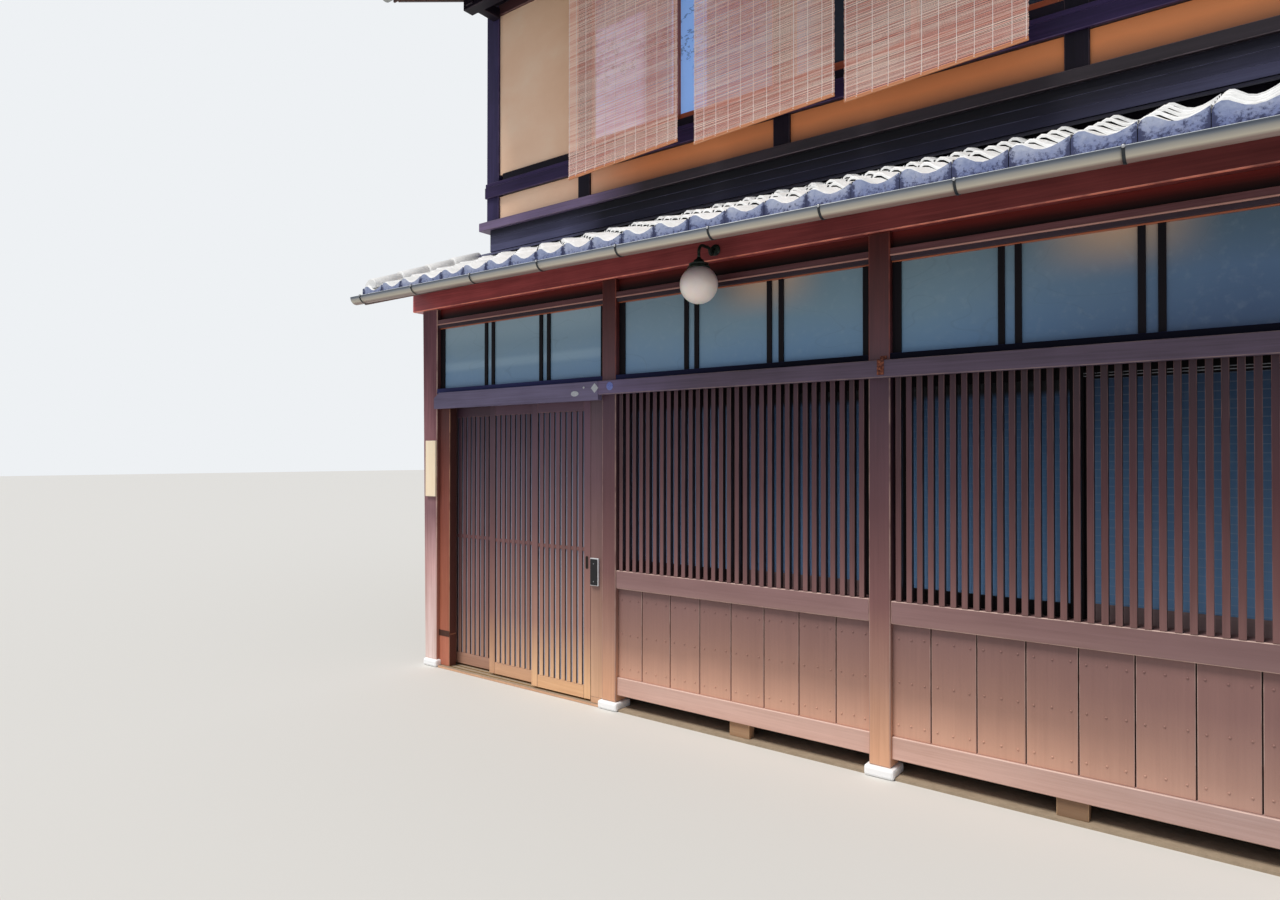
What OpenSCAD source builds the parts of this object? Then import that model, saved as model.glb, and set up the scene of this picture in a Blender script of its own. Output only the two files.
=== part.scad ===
// Two-storey wooden townhouse, three bays wide, with a lattice front.
// Origin: on the ground at the centre of the footprint. X runs along the street,
// Y runs from the street into the house, Z is up. Lengths are in millimetres.

/* [House] */
// Width of one bay, post centre to post centre
bay_w = 1820; // [1500:10:2200]
// Depth from the front faces of the front posts to the rear face
house_d = 7280; // [5000:10:10000]
// How far the upper front wall stands behind the lower one
setback = 660; // [450:10:900]
// Thickness of the side walls
side_wall_t = 100; // [80:5:110]
// Thickness of the upper front wall
wall_t = 120; // [90:5:180]
// Width and depth of a post
post_w = 115; // [95:5:150]
// Width of the chamfer along a post's corners
post_chamfer = 6; // [2:1:12]

/* [Ground floor] */
// Height of a foundation stone
stone_h = 55; // [30:5:90]
// How far a foundation stone stands out round its post
stone_lip = 22; // [10:1:40]
// Chamfer round the top of a foundation stone
stone_chamfer = 16; // [6:1:24]
// Thickness of the beaten-earth floor
earth_t = 14; // [8:1:18]
// Height of the open gap under the bottom rail
rail_gap = 100; // [60:5:160]
// Height of the bottom rail
bottom_rail_h = 116; // [80:2:160]
// Height of the boarded panel
panel_h = 578; // [400:2:800]
// Height of the middle rail
mid_rail_h = 118; // [80:2:160]
// Height of the lattice opening
lattice_h = 1145; // [900:5:1300]
// Height of the long upper rail
upper_rail_h = 90; // [60:2:130]
// How far the upper rail stands in front of the posts
upper_rail_proud = 45; // [20:1:60]
// Boards in each panel
panel_boards = 8; // [4:1:12]
// Width of the groove between two boards
board_groove = 5; // [3:1:8]
// Width of the first and the last board of a panel
end_board = 195; // [120:1:240]
// Thickness of the boards
board_t = 20; // [14:1:30]
// Width of the blocks under the bottom rails
block_w = 132; // [90:2:200]
// Bars in each bay of lattice
lattice_bars = 31; // [15:1:35]
// Width of a lattice bar
bar_w = 28; // [20:1:32]
// Depth of a lattice bar
bar_d = 34; // [24:1:45]
// Width of a sash member
sash_w = 36; // [25:1:50]
// Thickness of a sash
sash_t = 28; // [20:1:32]
// Height of the bottom and top rails of a ground-floor sash
sash_rail_h = 66; // [40:2:100]
// Thickness of window glass
glass_t = 4; // [3:1:6]

/* [Transom windows] */
// Height of the transom sill
transom_sill_h = 36; // [20:2:60]
// Height of the transom glass
transom_h = 480; // [300:5:600]
// Width of the thin transom stiles
transom_stile = 30; // [18:1:35]
// Width of the strip of glass between two paired stiles
pair_gap = 45; // [30:1:90]
// Height of the transom head rail
head_rail_h = 62; // [40:2:90]
// Height of the recessed board over the head rail
head_board_h = 89; // [60:1:150]
// Height of the eave beam
eave_beam_h = 169; // [120:1:220]

/* [Entrance] */
// Thickness of a leaf
leaf_t = 32; // [26:1:36]
// Width of a leaf's stiles
stile_w = 60; // [45:1:75]
// Height of a leaf's bottom rail
leaf_bottom_h = 86; // [60:2:140]
// Height of a leaf's top rail
leaf_top_h = 74; // [60:2:120]
// Height of the thin rail across a leaf's bars
leaf_mid_h = 26; // [16:1:40]
// Height of the middle of that thin rail above the ground
leaf_mid_z = 1027; // [800:1:1300]
// Gaps between the bars of a leaf
leaf_gaps = 9; // [5:1:11]
// Width of such a gap
leaf_gap_w = 18; // [12:1:24]
// Distance between the tracks of two leaves
track_pitch = 50; // [42:1:60]
// Width of the fixed strip between the door and its post
strip_w = 110; // [80:2:140]
// Width of the jamb post beside the corner post
jamb_w = 100; // [80:2:120]
// Depth of the jamb post
jamb_d = 70; // [50:2:80]
// How far the rear leaf stands behind the jamb post when closed
jamb_lap = 80; // [40:2:90]
// Height of the nameplate
nameplate_h = 439; // [300:1:500]
// Width of the nameplate
nameplate_w = 122; // [90:1:140]
// Height of the nameplate's foot above the ground
nameplate_z = 1337; // [1200:1:1500]
// Height of the lock case
lock_h = 184; // [120:1:200]
// Width of the lock case
lock_w = 72; // [50:1:85]
// Height of the lock case's foot above the ground
lock_z = 793; // [700:1:1000]
// Height of the lintel board over the door
lintel_h = 124; // [90:2:160]
// Running gap over the top of a leaf
leaf_clear = 6; // [5:1:10]

/* [Lower roof] */
// Rise of the lower roof for each unit of run
lower_pitch = 0.4; // [0.28:0.005:0.42]
// How far the lower eave reaches in front of the posts
lower_eave = 439; // [350:1:600]
// How far the roofs reach past the side walls
verge_out = 180; // [120:5:260]
// Height of a rafter, measured upright
rafter_h = 64; // [45:1:80]
// Width of a rafter
rafter_w = 42; // [32:1:60]
// Rafters to one bay
rafters_per_bay = 4; // [3:1:6]
// Thickness of the roof boards
deck_t = 18; // [12:1:24]
// Width that one tile covers, before it is evened out over the roof
tile_pitch = 230; // [200:5:270]
// Thickness of a tile
tile_t = 16; // [12:1:22]
// Depth of a tile's trough
tile_trough = 22; // [14:1:30]
// Height of a tile's roll
tile_roll = 18; // [10:1:24]
// Height of the upright front of an eave tile
eave_tile_h = 106; // [80:1:120]
// Radius of the round tiles along the roof edges
verge_r = 72; // [55:1:90]
// Outside radius of a gutter
gutter_r = 50; // [45:1:70]
// Thickness of the gutter's wall
gutter_t = 4; // [3:1:5]
// Thickness of a gutter strap
strap_t = 3; // [2:1:5]
// Distance between two gutter straps
strap_pitch = 615; // [400:5:900]
// How far the row of straps is moved along the eave
strap_shift = -78; // [-100:2:100]
// Height of the flashing over the top of the lower roof
flashing_h = 42; // [40:1:120]

/* [Upper floor] */
// Height of the dark board under the upper wall
band_h = 186; // [120:2:220]
// Height of the sill board over it
sill_board_h = 72; // [50:2:100]
// Height of the plaster strip under the windows
strip_h = 205; // [150:5:320]
// Height of the window rail
window_rail_h = 187; // [100:1:220]
// Height of the recessed strip between the long board and the windows
recess_h = 60; // [20:1:80]
// Height of the upper window opening
window_h = 1258; // [1000:2:1500]
// Height of the upper head rail
upper_head_h = 90; // [60:2:120]
// Height of the plaster strip over the head rail
top_strip_h = 110; // [60:5:200]
// Height of the top plate
plate_h = 120; // [90:5:160]
// Thickness of the upper floor
upper_floor_t = 120; // [80:5:180]
// Distance of the intermediate posts from the middle
mid_post_x = 1720; // [1300:10:2000]
// Width of the intermediate posts
mid_post_w = 120; // [100:5:150]
// Width of an upper corner post
corner_w = 145; // [115:5:170]
// Width of a reed blind
blind_w = 1000; // [700:5:1100]
// Height of a reed blind
blind_h = 1530; // [1000:5:1550]
// Thickness of a reed blind
blind_t = 6; // [4:1:10]
// How far the blinds hang in front of the upper wall
blind_out = 250; // [200:5:300]

/* [Main roof] */
// Rise of the main roof for each unit of run
main_pitch = 0.45; // [0.35:0.01:0.6]
// How far the main roof reaches past the upper front wall and the rear wall
main_eave = 850; // [600:10:1100]
// Distance of the outer beam from the wall face
outer_beam_out = 300; // [240:5:340]
// Width of the outer beam
outer_beam_w = 100; // [80:2:140]
// Height of the outer beam
outer_beam_h = 130; // [100:2:160]
// Width of the bracket arms
arm_w = 80; // [60:2:110]
// Height of the bracket arms
arm_h = 90; // [60:2:120]
// Height of the stacked ridge under its round cap
ridge_h = 190; // [100:5:300]
// Width of the stacked ridge
ridge_w = 220; // [160:5:280]
// Radius of the ridge's round cap
ridge_cap_r = 90; // [70:2:110]

/* [Rear] */
// Width of a rear window
rear_w = 1400; // [900:10:1500]
// Height of a rear window
rear_h = 1100; // [800:10:1300]
// Height of the ground-floor rear windows' sill
rear_sill_h = 900; // [700:10:1200]
// Height of the upper rear windows' sill above the upper floor
upper_sill_h = 750; // [500:10:900]

/* [Lamp] */
// Diameter of the glass globe
globe_d = 220; // [160:2:280]
// How far the globe's middle hangs in front of the beam
globe_out = 190; // [150:2:260]
// Distance of the lamp from the middle of the front
lamp_x = -80; // [-600:10:600]
// Diameter of the lamp's tube
tube_d = 18; // [12:1:24]
// Diameter of the cap over the globe
cap_d = 116; // [90:2:140]

/* [Hidden] */

// Seat that a moving or separate piece keeps from what carries it
seat = 0.3;

// Lines of the plan
front_y = -house_d / 2;
half_w = 1.5 * bay_w;
side_x = half_w + post_w / 2;
post_lines = [-half_w, -bay_w / 2, bay_w / 2, half_w];
bay_clear = bay_w - post_w;
stone_step = stone_lip + 2;
wall_in = side_x - side_wall_t;
upper_y = setback;
ridge_y = (upper_y + house_d) / 2;

// Levels of the ground floor
z_panel = rail_gap + bottom_rail_h;
z_mid_rail = z_panel + panel_h;
z_lattice = z_mid_rail + mid_rail_h;
z_upper_rail = z_lattice + lattice_h;
z_transom = z_upper_rail + upper_rail_h;
z_glass = z_transom + transom_sill_h;
z_head = z_glass + transom_h;
z_head_board = z_head + head_rail_h;
z_beam = z_head_board + head_board_h;
z_beam_top = z_beam + eave_beam_h;

// Depths of the ground-floor front, measured back from the post faces
rail_back = 150;
mid_rail_y = 5;
bottom_rail_y = 16;
bottom_rail_back = 96;
board_y = 30;
block_y = 34;
block_shift = 54;
jamb_y = 28;
strip_y = 14;
sash_y = 80;
sash_gap = 4;
batten_lift = 18;
transom_y = 36;

// Lower roof, whose underside rests on the outer edge of the eave beam
beam_proud = 12;
function lower_under(y) = z_beam_top + lower_pitch * (y + beam_proud);
roof_layers = rafter_h + deck_t;
roof_len = 2 * (side_x + verge_out);
tile_count = round(roof_len / tile_pitch);
tile_w = roof_len / tile_count;

// Levels of the upper floor
z_floor = lower_under(setback) + roof_layers + tile_trough + tile_t + flashing_h;
z_sill = z_floor + band_h;
z_strip = z_sill + sill_board_h;
z_window_rail = z_strip + strip_h;
z_window = z_window_rail + window_rail_h;
z_upper_head = z_window + window_h;
z_top_strip = z_upper_head + upper_head_h;
z_plate = z_top_strip + top_strip_h;
z_plate_top = z_plate + plate_h;

// Main roof, whose underside rests on the outer edges of the top plates
function main_under(y) = z_plate_top + main_pitch * min(y - upper_y, house_d - y);

// Places measured from the street line
module from_street() {
    translate([0, front_y, 0]) children();
}

// A straight timber between two corners
module timber(x, y, z) {
    translate([x[0], y[0], z[0]]) cube([x[1] - x[0], y[1] - y[0], z[1] - z[0]]);
}

// A post with chamfered corners, centred at x with its front face at y
module post(x, y, z, w = post_w, d = post_w) {
    c = post_chamfer;
    translate([x - w / 2, y, z[0]]) linear_extrude(z[1] - z[0])
        polygon([[c, 0], [w - c, 0], [w, c], [w, d - c], [w - c, d], [c, d], [0, d - c], [0, c]]);
}

// A foundation stone under a post, with a chamfer round its top
module stone(x, y) {
    w = post_w + 2 * stone_lip;
    c = stone_chamfer;
    profile = [[0, 0], [w, 0], [w, stone_h - c], [w - c, stone_h], [c, stone_h], [0, stone_h - c]];
    translate([x - w / 2, y - stone_lip, 0]) intersection() {
        translate([0, w, 0]) rotate([90, 0, 0]) linear_extrude(w) polygon(profile);
        rotate([90, 0, 90]) linear_extrude(w) polygon(profile);
    }
}

module stone_bases() {
    color("gainsboro") from_street() {
        for (x = post_lines) {
            stone(x, 0);
            stone(x, house_d - post_w);
        }
    }
}

module earth_floor() {
    w = post_w + 2 * stone_lip;
    color("tan") from_street() difference() {
        timber([-side_x, side_x], [0, house_d], [0, earth_t]);
        for (x = post_lines) {
            for (y = [0, house_d - post_w]) {
                translate([x - w / 2 - 1, y - stone_lip - 1, -1]) cube([w + 2, w + 2, earth_t + 2]);
            }
        }
    }
}

// Entrance: corner post, jamb post and the places of the three leaves
jamb_x = -side_x + post_w + stone_lip;
strip_x = -bay_w / 2 - post_w / 2 - strip_w;
strip_d = 46;
sill_d = 8;
closing_gap = 5;
door_right = strip_x - closing_gap;
leaf_w = (door_right - jamb_x - jamb_w + jamb_lap + 2 * stile_w) / 3;
leaf_pitch = leaf_w - stile_w;
leaf_x = [for (i = [2, 1, 0]) door_right - leaf_w - i * leaf_pitch];
leaf_y = [for (i = [2, 1, 0]) 18 + i * track_pitch];
rail_w = 6;
z_rail = earth_t + 4;
leaf_z = z_rail + 10;
lintel_z = z_transom - lintel_h;
lintel_lap = 16;
track_z = lintel_z + lintel_lap;
leaf_top = track_z - leaf_clear;
track_back = leaf_y[0] + leaf_t + 30;
glass_lap = 8;
glass_y = leaf_t - glass_t - 2;
leaf_glass_z = [leaf_z + leaf_bottom_h - glass_lap, leaf_top - leaf_top_h + glass_lap];
sheave_r = 9;
nameplate_t = 18;
lock_t = 20;

module entrance_posts() {
    color("saddlebrown") from_street() {
        post(-half_w, 0, [stone_h, z_beam]);
        timber([jamb_x, jamb_x + jamb_w], [jamb_y, jamb_y + jamb_d], [earth_t, z_transom]);
    }
}

module front_posts() {
    color("#5b3a33") from_street() for (i = [1:3]) post(post_lines[i], 0, [stone_h, z_beam]);
}

module front_rails() {
    color("#6d4a42") from_street() for (x = [-bay_w / 2, bay_w / 2]) {
        span = [x + post_w / 2, x + bay_w - post_w / 2];
        timber(span, [bottom_rail_y, bottom_rail_back], [rail_gap, z_panel]);
        timber(span, [mid_rail_y, rail_back], [z_mid_rail, z_lattice]);
    }
}

module sill_blocks() {
    color("wheat") from_street() for (x = [block_shift, bay_w - block_shift / 2]) {
        timber([x - block_w / 2, x + block_w / 2], [block_y, bottom_rail_back], [earth_t, rail_gap]);
    }
}

// Upright boards of a panel, with an open groove at each joint
module wainscot_boards() {
    pitch = (bay_clear - 2 * end_board) / (panel_boards - 2);
    color("#7a564b") from_street() for (x = [-bay_w / 2, bay_w / 2]) {
        translate([x + post_w / 2, board_y, z_panel]) difference() {
            cube([bay_clear, board_t, panel_h]);
            for (i = [0:panel_boards - 2]) {
                translate([end_board + i * pitch - board_groove / 2, -1, -1])
                    cube([board_groove, board_t / 2 + 1, panel_h + 2]);
            }
        }
    }
}

// Upright bars that stand on the middle rail, under the batten of the upper rail
module lattice(x) {
    gap = (bay_clear - lattice_bars * bar_w) / (lattice_bars + 1);
    color("#5e3f3a") from_street() for (i = [0:lattice_bars - 1]) {
        translate([x + post_w / 2 + gap + i * (bar_w + gap), mid_rail_y, z_lattice])
            cube([bar_w, bar_d, lattice_h + batten_lift]);
    }
}
module lattice_centre() { lattice(-bay_w / 2); }
module lattice_right() { lattice(bay_w / 2); }

// Long rail in front of the posts, with a batten between them over bars and sashes
module upper_rail() {
    color("#6b5750") from_street() {
        timber([-bay_w / 2 - post_w / 2, side_x], [-upper_rail_proud, 0], [z_upper_rail, z_transom]);
        for (x = [-bay_w / 2, bay_w / 2]) {
            timber([x + post_w / 2, x + bay_w - post_w / 2], [0, rail_back],
                [z_upper_rail + batten_lift, z_transom]);
        }
    }
}

module door_frame() {
    left = jamb_x - 4;
    slant = [0.6 * jamb_w, lintel_h / 3];
    right = -bay_w / 2 - post_w / 2;
    color("#59423d") from_street() {
        // Lintel board, whose left end is cut off at a slant
        rotate([90, 0, 0]) linear_extrude(upper_rail_proud)
            polygon([[left, lintel_z], [right, lintel_z], [right, z_transom],
                [left + slant[0], z_transom], [left, z_transom - slant[1]]]);
        // Upper track behind it
        timber([jamb_x + jamb_w, right], [0, track_back], [track_z, z_transom]);
        // Fixed strip between the leaves and the post, notched round the post's stone
        difference() {
            timber([strip_x, right], [strip_y, strip_y + strip_d], [earth_t, track_z]);
            timber([right - stone_lip, right + 1], [strip_y - 1, strip_y + strip_d + 1],
                [0, stone_h]);
        }
    }
}

// Sill board at the edge of the floor, and a low metal rail under each leaf
module door_threshold() {
    sill = [jamb_x + closing_gap, strip_x + strip_w - stone_step];
    color("#6b5750") from_street() {
        translate([sill[0], 0, 0]) rotate([90, 0, 90]) linear_extrude(sill[1] - sill[0])
            polygon([[-sill_d, 0], [0, 0], [0, earth_t], [0.3 * earth_t - sill_d, earth_t],
                [-sill_d, 0.7 * earth_t]]);
        for (i = [0:2]) {
            middle = leaf_y[i] + leaf_t / 2;
            timber([i == 0 ? leaf_x[0] : jamb_x + jamb_w, strip_x],
                [middle - rail_w / 2, middle + rail_w / 2], [earth_t, z_rail]);
        }
    }
}

// Sliding leaf: stiles, rails, upright bars, a thin middle rail and two sheaves
module door_leaf(i) {
    inner = leaf_w - 2 * stile_w;
    bars = leaf_gaps - 1;
    bar = (inner - leaf_gaps * leaf_gap_w) / bars;
    color("#6d4a42") from_street() translate([leaf_x[i], leaf_y[i], 0]) {
        difference() {
            translate([0, 0, leaf_z]) cube([leaf_w, leaf_t, leaf_top - leaf_z]);
            for (g = [0:leaf_gaps - 1]) {
                x = stile_w + g * (leaf_gap_w + bar);
                low = [leaf_z + leaf_bottom_h, leaf_mid_z - leaf_mid_h / 2];
                high = [leaf_mid_z + leaf_mid_h / 2, leaf_top - leaf_top_h];
                for (z = [low, high]) {
                    translate([x, -1, z[0]]) cube([leaf_gap_w, leaf_t + 2, z[1] - z[0]]);
                }
            }
            // Rebate at the back for the glass
            timber([stile_w - glass_lap, leaf_w - stile_w + glass_lap], [glass_y, leaf_t + 1],
                leaf_glass_z);
        }
        for (x = [stile_w, leaf_w - stile_w]) {
            translate([x, leaf_t / 2, z_rail + seat + sheave_r]) rotate([90, 0, 0])
                cylinder(h = rail_w + 2, r = sheave_r, center = true, $fn = 32);
        }
    }
}
module door_leaf_left() { door_leaf(0); }
module door_leaf_middle() { door_leaf(1); }
module door_leaf_right() { door_leaf(2); }

module door_glass(i) {
    color("#8fa0a6") from_street() translate([leaf_x[i], leaf_y[i], 0])
        timber([stile_w - glass_lap, leaf_w - stile_w + glass_lap], [glass_y, glass_y + glass_t],
            leaf_glass_z);
}
module door_glass_left() { door_glass(0); }
module door_glass_middle() { door_glass(1); }
module door_glass_right() { door_glass(2); }

// Bare wooden nameplate on the corner post, and the case of the lock beside the door
module door_plates() {
    color("burlywood") from_street() {
        translate([-half_w - nameplate_w / 2, -nameplate_t, nameplate_z])
            cube([nameplate_w, nameplate_t, nameplate_h]);
        translate([strip_x + closing_gap, strip_y - lock_t, lock_z])
            cube([lock_w, lock_t, lock_h]);
    }
}

// A glazed sash with its four members
module sash(x, y, z, stile, rail, t) {
    difference() {
        timber(x, [y, y + t], z);
        timber([x[0] + stile, x[1] - stile], [y - 1, y + t + 1], [z[0] + rail, z[1] - rail]);
    }
}
module pane(x, y, z, stile, rail, t) {
    timber([x[0] + stile, x[1] - stile], [y + t / 2 - glass_t / 2, y + t / 2 + glass_t / 2],
        [z[0] + rail, z[1] - rail]);
}

// Two sashes behind each bay of lattice: the left one runs in front of the right one
module shop_sashes() {
    for (x = [-bay_w / 2 + post_w / 2, bay_w / 2 + post_w / 2]) {
        middle = x + bay_clear / 2;
        $z = [z_lattice, z_upper_rail + batten_lift];
        let ($span = [x, middle + sash_w / 2], $y = sash_y) children();
        let ($span = [middle - sash_w / 2, x + bay_clear], $y = sash_y + sash_t + sash_gap) children();
    }
}

module shop_window_frames() {
    color("#2f2926") from_street() shop_sashes() sash($span, $y, $z, sash_w, sash_rail_h, sash_t);
}

// Clear widths of the transoms, one for each bay
transom_spans = [for (i = [0:2]) [post_lines[i] + post_w / 2, post_lines[i + 1] - post_w / 2]];
transom_edge = 45;

// Left edges of the three panes and the two narrow strips of a transom
function pane_w(span) = (span[1] - span[0] - 2 * transom_edge - 4 * transom_stile - 2 * pair_gap) / 3;
function pane_x(span, i) =
    span[0] + transom_edge + i * (pane_w(span) + 2 * transom_stile + pair_gap);

module transom_holes(span, y, d) {
    for (i = [0:2]) translate([pane_x(span, i), y, z_glass]) cube([pane_w(span), d, transom_h]);
    for (i = [0:1]) {
        translate([pane_x(span, i) + pane_w(span) + transom_stile, y, z_glass])
            cube([pair_gap, d, transom_h]);
    }
}

module transom_frames() {
    color("#33231f") from_street() for (span = transom_spans) {
        // Sill and head rail
        timber(span, [0, post_w], [z_transom, z_glass]);
        timber(span, [0, post_w], [z_head, z_head_board]);
        // Stiles between them
        difference() {
            timber(span, [transom_y, transom_y + sash_t], [z_glass, z_head]);
            transom_holes(span, transom_y - 1, sash_t + 2);
        }
        // Recessed board over the head rail
        timber(span, [transom_y, transom_y + board_t], [z_head_board, z_beam]);
    }
}

module frosted_glass() {
    color("lightsteelblue") from_street() {
        shop_sashes() pane($span, $y, $z, sash_w, sash_rail_h, sash_t);
        for (span = transom_spans) {
            transom_holes(span, transom_y + sash_t / 2 - glass_t / 2, glass_t);
        }
        rear_windows(0) pane($span, $y, $z, sash_w, sash_w, sash_t);
    }
}

module eave_beam() {
    color("#6e2d22") from_street()
        timber([-side_x - verge_out, side_x + verge_out], [-beam_proud, post_w], [z_beam, z_beam_top]);
}

// A roof panel: boards over rafters, drawn as if level and then tilted about its low edge
module roof_panel(run, pitch) {
    multmatrix([[1, 0, 0, 0], [0, 1, 0, 0], [0, pitch, 1, 0], [0, 0, 0, 1]]) {
        translate([-roof_len / 2, 0, rafter_h]) cube([roof_len, run, deck_t]);
        for (x = rafter_lines) translate([x - rafter_w / 2, 0, 0]) cube([rafter_w, run, rafter_h]);
    }
}

// Board across the rafter ends of a roof panel
module eave_board(pitch) {
    translate([-roof_len / 2, -deck_t, 0]) cube([roof_len, deck_t, roof_layers - pitch * deck_t]);
}

// Upright section through one tile: [share of its width, height], a roll and then a trough
tile_seam = 0.5 * tile_roll;
tile_section = [
    [0, tile_seam], [0.13, tile_roll], [0.26, 0.6 * tile_roll], [0.42, -0.6 * tile_trough],
    [0.56, -tile_trough], [0.7, -0.75 * tile_trough], [0.86, -0.1 * tile_trough]
];
tile_x0 = -roof_len / 2;
wave_line = concat(
    [for (i = [0:tile_count - 1]) for (p = tile_section) [tile_x0 + (i + p[0]) * tile_w, p[1]]],
    [[-tile_x0, tile_seam]]
);
function flipped(line) = [for (i = [len(line) - 1:-1:0]) line[i]];

// Tiled surface that rises from its low edge
tile_base = tile_trough + tile_t;
module tile_sheet(run, pitch) {
    under = [for (p = flipped(wave_line)) [p[0], p[1] - tile_t]];
    multmatrix([[1, 0, 0, 0], [0, 1, 0, 0], [0, pitch, 1, 0], [0, 0, 0, 1]])
        translate([0, run, tile_base]) rotate([90, 0, 0]) linear_extrude(run)
            polygon(concat(wave_line, under));
}

// Row of eave tiles, with their wavy tops and upright fronts
module eave_row() {
    low = tile_seam - eave_tile_h;
    translate([0, 0, tile_base]) rotate([90, 0, 0]) linear_extrude(tile_t)
        polygon(concat(wave_line, [[-tile_x0, low], [tile_x0, low]]));
}

lower_run = setback + lower_eave;
main_run = ridge_y - upper_y + main_eave - 1;
rafter_pitch = bay_w / rafters_per_bay;
inner_count = floor((wall_in - rafter_w) / rafter_pitch);
verge_rafter = side_x + verge_out - rafter_w / 2;
rafter_lines = concat([-verge_rafter], [for (i = [-inner_count:inner_count]) i * rafter_pitch],
    [verge_rafter]);

module lower_roof_frame() {
    color("#4a2c24") from_street() translate([0, -lower_eave, lower_under(-lower_eave)]) {
        roof_panel(lower_run, lower_pitch);
        eave_board(lower_pitch);
    }
}

// Half-round channel along X, closed at its ends
module gutter(half) {
    translate([-half, 0, 0]) rotate([90, 0, 90]) difference() {
        linear_extrude(2 * half) intersection() {
            circle(r = gutter_r, $fn = 64);
            translate([-gutter_r, -gutter_r]) square([2 * gutter_r, gutter_r]);
        }
        translate([0, 0, gutter_t]) linear_extrude(2 * half - 2 * gutter_t)
            circle(r = gutter_r - gutter_t, $fn = 64);
    }
}

// A gutter with its straps, in front of an eave whose board faces y = 0 with its foot at z = 0
gutter_lift = 14;
strap_w = 12;
module hung_gutter() {
    n = floor((roof_len - 2 * gutter_r) / strap_pitch);
    outer = gutter_r + strap_t;
    y = -tile_t - 2 - outer;
    translate([0, y, gutter_lift]) {
        gutter(roof_len / 2);
        for (i = [0:n]) translate([(i - n / 2) * strap_pitch + strap_shift - strap_w / 2, 0, 0])
            rotate([90, 0, 90]) linear_extrude(strap_w) difference() {
                union() {
                    intersection() {
                        circle(r = outer, $fn = 64);
                        translate([-outer, -outer]) square([2 * outer, outer]);
                    }
                    translate([0, -gutter_lift]) square([-y, strap_t + 2]);
                }
                circle(r = gutter_r - gutter_t / 2, $fn = 64);
            }
    }
}

module gutters() {
    color("#c9c7b8") from_street() {
        translate([0, -lower_eave - deck_t, lower_under(-lower_eave)]) hung_gutter();
        main_slope() translate([0, upper_y - main_eave - deck_t, main_under(upper_y - main_eave)])
            hung_gutter();
    }
}

// Lamp: a tube that leaves its wall plate, dips, rises and drops to the cap over the globe
lamp_z = z_beam + 59;
globe_z = lamp_z - 223;
globe_r = globe_d / 2;
plate_t = 12;
dip_r = 17;
drop_r = 45;
cap_sink = 12;

// One bend of the tube about p, in the lamp's own plane, from angle a on through turn
module tube_bend(p, r, a, turn) {
    translate([0, -p[0], p[1]]) rotate([90, 0, -90]) rotate([0, 0, a])
        rotate_extrude(angle = turn, $fn = 64) translate([r, 0]) circle(d = tube_d, $fn = 24);
}

module lamp_bracket() {
    out = globe_out - beam_proud;
    cap_z = globe_z - lamp_z + globe_r - cap_sink;
    color("darkslategray") from_street() translate([lamp_x, -beam_proud, lamp_z]) {
        rotate([90, 0, 0]) cylinder(h = plate_t, r = 2 * dip_r, $fn = 48);
        tube_bend([plate_t, -dip_r], dip_r, 0, 90);
        tube_bend([plate_t + 2 * dip_r, -dip_r], dip_r, 180, 180);
        tube_bend([plate_t + 4 * dip_r, -dip_r], dip_r, 90, 90);
        translate([0, -plate_t - 4 * dip_r, 0]) rotate([90, 0, 0])
            cylinder(h = out - drop_r - plate_t - 4 * dip_r, d = tube_d, $fn = 24);
        tube_bend([out - drop_r, -drop_r], drop_r, 0, 90);
        translate([0, -out, 0]) {
            translate([0, 0, cap_z + 1]) cylinder(h = -drop_r - cap_z - 1, d = tube_d, $fn = 24);
            translate([0, 0, cap_z + 22]) cylinder(h = 30, d1 = cap_d / 2, d2 = tube_d + 4, $fn = 48);
            translate([0, 0, cap_z]) cylinder(h = 24, d = cap_d, $fn = 48);
        }
    }
}

module lamp_globe() {
    color("ivory") from_street() translate([lamp_x, -globe_out, globe_z]) difference() {
        sphere(r = globe_r, $fn = 48);
        translate([0, 0, globe_r - cap_sink]) cylinder(h = globe_r, d = cap_d + 2, $fn = 48);
    }
}

// Upper front: posts, boards, plaster and windows
module upper_posts() {
    color("#3a2a2c") from_street() {
        for (s = [-1, 1]) {
            post(s * (side_x - corner_w / 2), upper_y, [z_strip, z_plate], corner_w, wall_t);
            post(s * mid_post_x, upper_y, [z_strip, z_plate], mid_post_w, wall_t);
        }
        post(0, upper_y, [z_strip, z_plate], mid_post_w, wall_t);
    }
}

upper_in = side_x - corner_w;
sill_proud = 36;
window_board_t = 22;
z_floor_beam = z_floor - upper_floor_t - rafter_h;
flashing_y = upper_y - 90;
flashing_half = roof_len / 2 - 60;
function tile_top(y) = lower_under(y) + roof_layers + tile_base + tile_roll;

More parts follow.
